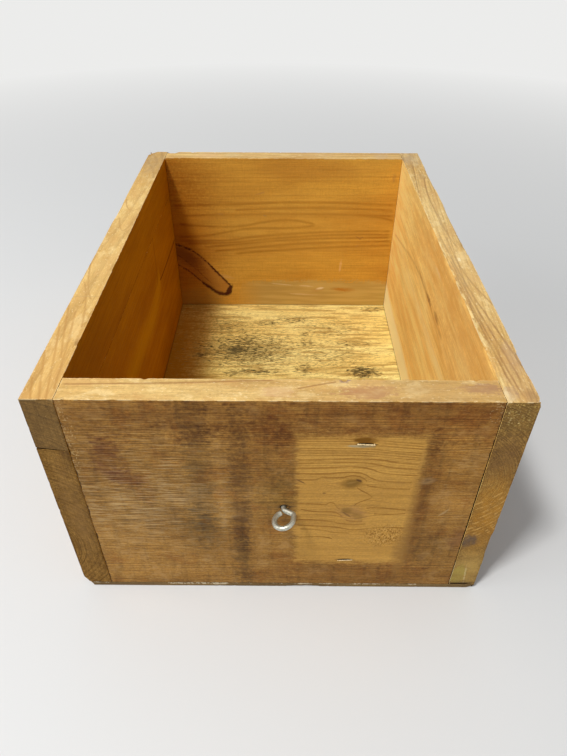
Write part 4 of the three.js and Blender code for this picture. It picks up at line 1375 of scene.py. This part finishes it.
def twin(source, name):
    """A copy of a piece with its own mesh, alone selected."""
    copy = source.copy()
    copy.data = source.data.copy()
    copy.name = name
    bpy.context.collection.objects.link(copy)
    copy.hide_set(False)
    take_up(copy)
    return copy


def drive(model, node, head, way):
    """Puts a copy of a nail in place of a CAD nail: its head at a place, its shank one way."""
    nail = twin(model, "worn_" + node)
    nail.location = head
    nail.rotation_euler = Vector((0, 0, -1)).rotation_difference(Vector(way)).to_matrix().to_euler()
    settle()
    dress(nail, rust.material, node)


rust = Finish("rusty_steel")
blotch = rust.noise(1.5, detail=4)
pits = rust.noise(0.5, detail=4, rough=0.7)
rust_colour = rust.mix(rust.step(blotch, 0.35, 0.65), (0.15, 0.070, 0.028), (0.26, 0.125, 0.045))
rust_colour = rust.mix(rust.step(pits, 0.55, 0.75, 0, 0.8), rust_colour, (0.045, 0.030, 0.024))
rust.done(rust_colour, rust.step(pits, 0.3, 0.7, 0.5, 0.8), rust.sway(pits, 0.05), 0.5, 0.25)

corner_nail = wire_nail(
    "corner_nail_model",
    head_radius=0.0035, head_thick=0.0012, shank_radius=0.0015, length=0.064, sides=24,
)
for name in sorted(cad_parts):
    if name.startswith("corner_nail_"):
        head = middle_of(name)
        on_left = "_left_" in name
        head.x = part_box(name)[0 if on_left else 1][0]
        drive(corner_nail, name, head, (1 if on_left else -1, 0, 0))
bpy.data.objects.remove(corner_nail)

# Bottom nails: sixteen small wire nails, driven up through the sheet into the boards.
bottom_nail = wire_nail(
    "bottom_nail_model",
    head_radius=0.0025, head_thick=0.001, shank_radius=0.001, length=0.032, sides=20,
)
for name in sheet_nails:
    head = middle_of(name)
    head.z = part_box(name)[0][2]
    drive(bottom_nail, name, head, (0, 0, 1))
bpy.data.objects.remove(bottom_nail)

# Screw eye: one bent wire of bright zinc gone dull. Its neck leaves the wood, bends to the right,
# and runs round in a ring whose free end tucks in under the neck. Its thread sits in the board.
eye_voxel = 0.0002
eye_dent = 0.00007


def rounded_copy(name, node, voxel):
    """A merged copy of a CAD node's mesh, remeshed so that its sharp facets run smooth."""
    piece = twin(bpy.data.objects[node], name)
    bpy.ops.object.mode_set(mode="EDIT")
    bpy.ops.mesh.select_all(action="SELECT")
    bpy.ops.mesh.remove_doubles(threshold=0.000001)
    bpy.ops.object.mode_set(mode="OBJECT")
    remesh = piece.modifiers.new("remesh", "REMESH")
    remesh.mode = "VOXEL"
    remesh.voxel_size = voxel
    remesh.use_smooth_shade = True
    bpy.ops.object.modifier_apply(modifier=remesh.name)
    ease = piece.modifiers.new("ease", "SMOOTH")
    ease.factor = 0.5
    ease.iterations = 3
    bpy.ops.object.modifier_apply(modifier=ease.name)
    return piece


eye = rounded_copy("worn_screw_eye", "screw_eye", eye_voxel)
outward = [vertex.normal.copy() for vertex in eye.data.vertices]
for vertex, way in zip(eye.data.vertices, outward):
    vertex.co += way * eye_dent * noise.noise(vertex.co * 350)
zinc = Finish("dull_zinc")
clouds = zinc.noise(2.2, detail=4, rough=0.65)
bloom = zinc.noise(0.7, detail=4, rough=0.7, seed=2)
zinc_colour = zinc.mix(zinc.step(clouds, 0.35, 0.65), (0.60, 0.60, 0.52), (0.40, 0.40, 0.33))
zinc_colour = zinc.mix(zinc.step(bloom, 0.52, 0.75, 0, 0.7), zinc_colour, (0.25, 0.22, 0.17))
zinc.done(zinc_colour, zinc.step(clouds, 0.3, 0.7, 0.32, 0.55), zinc.sway(bloom, 0.02), 0.5, 0.8)
dress(eye, zinc.material, "screw_eye", body="screw_eye")

# Staples: two wire staples that held the card. The upper one has been prised up a little and
# stands in a rusty tear, the lower one lies flush.
staple_voxel = 0.00009

tarnish = Finish("staple_wire")
stain = tarnish.noise(0.6, detail=3)
wire_colour = tarnish.mix(tarnish.step(stain, 0.52, 0.66), (1.0, 0.80, 0.44), (0.30, 0.18, 0.05))
tarnish.done(wire_colour, 0.4, tarnish.sway(stain, 0.02), 0.5, 0.25)
for node in ("label_staple_upper", "label_staple_lower"):
    dress(rounded_copy("worn_" + node, node, staple_voxel), tarnish.material, node)

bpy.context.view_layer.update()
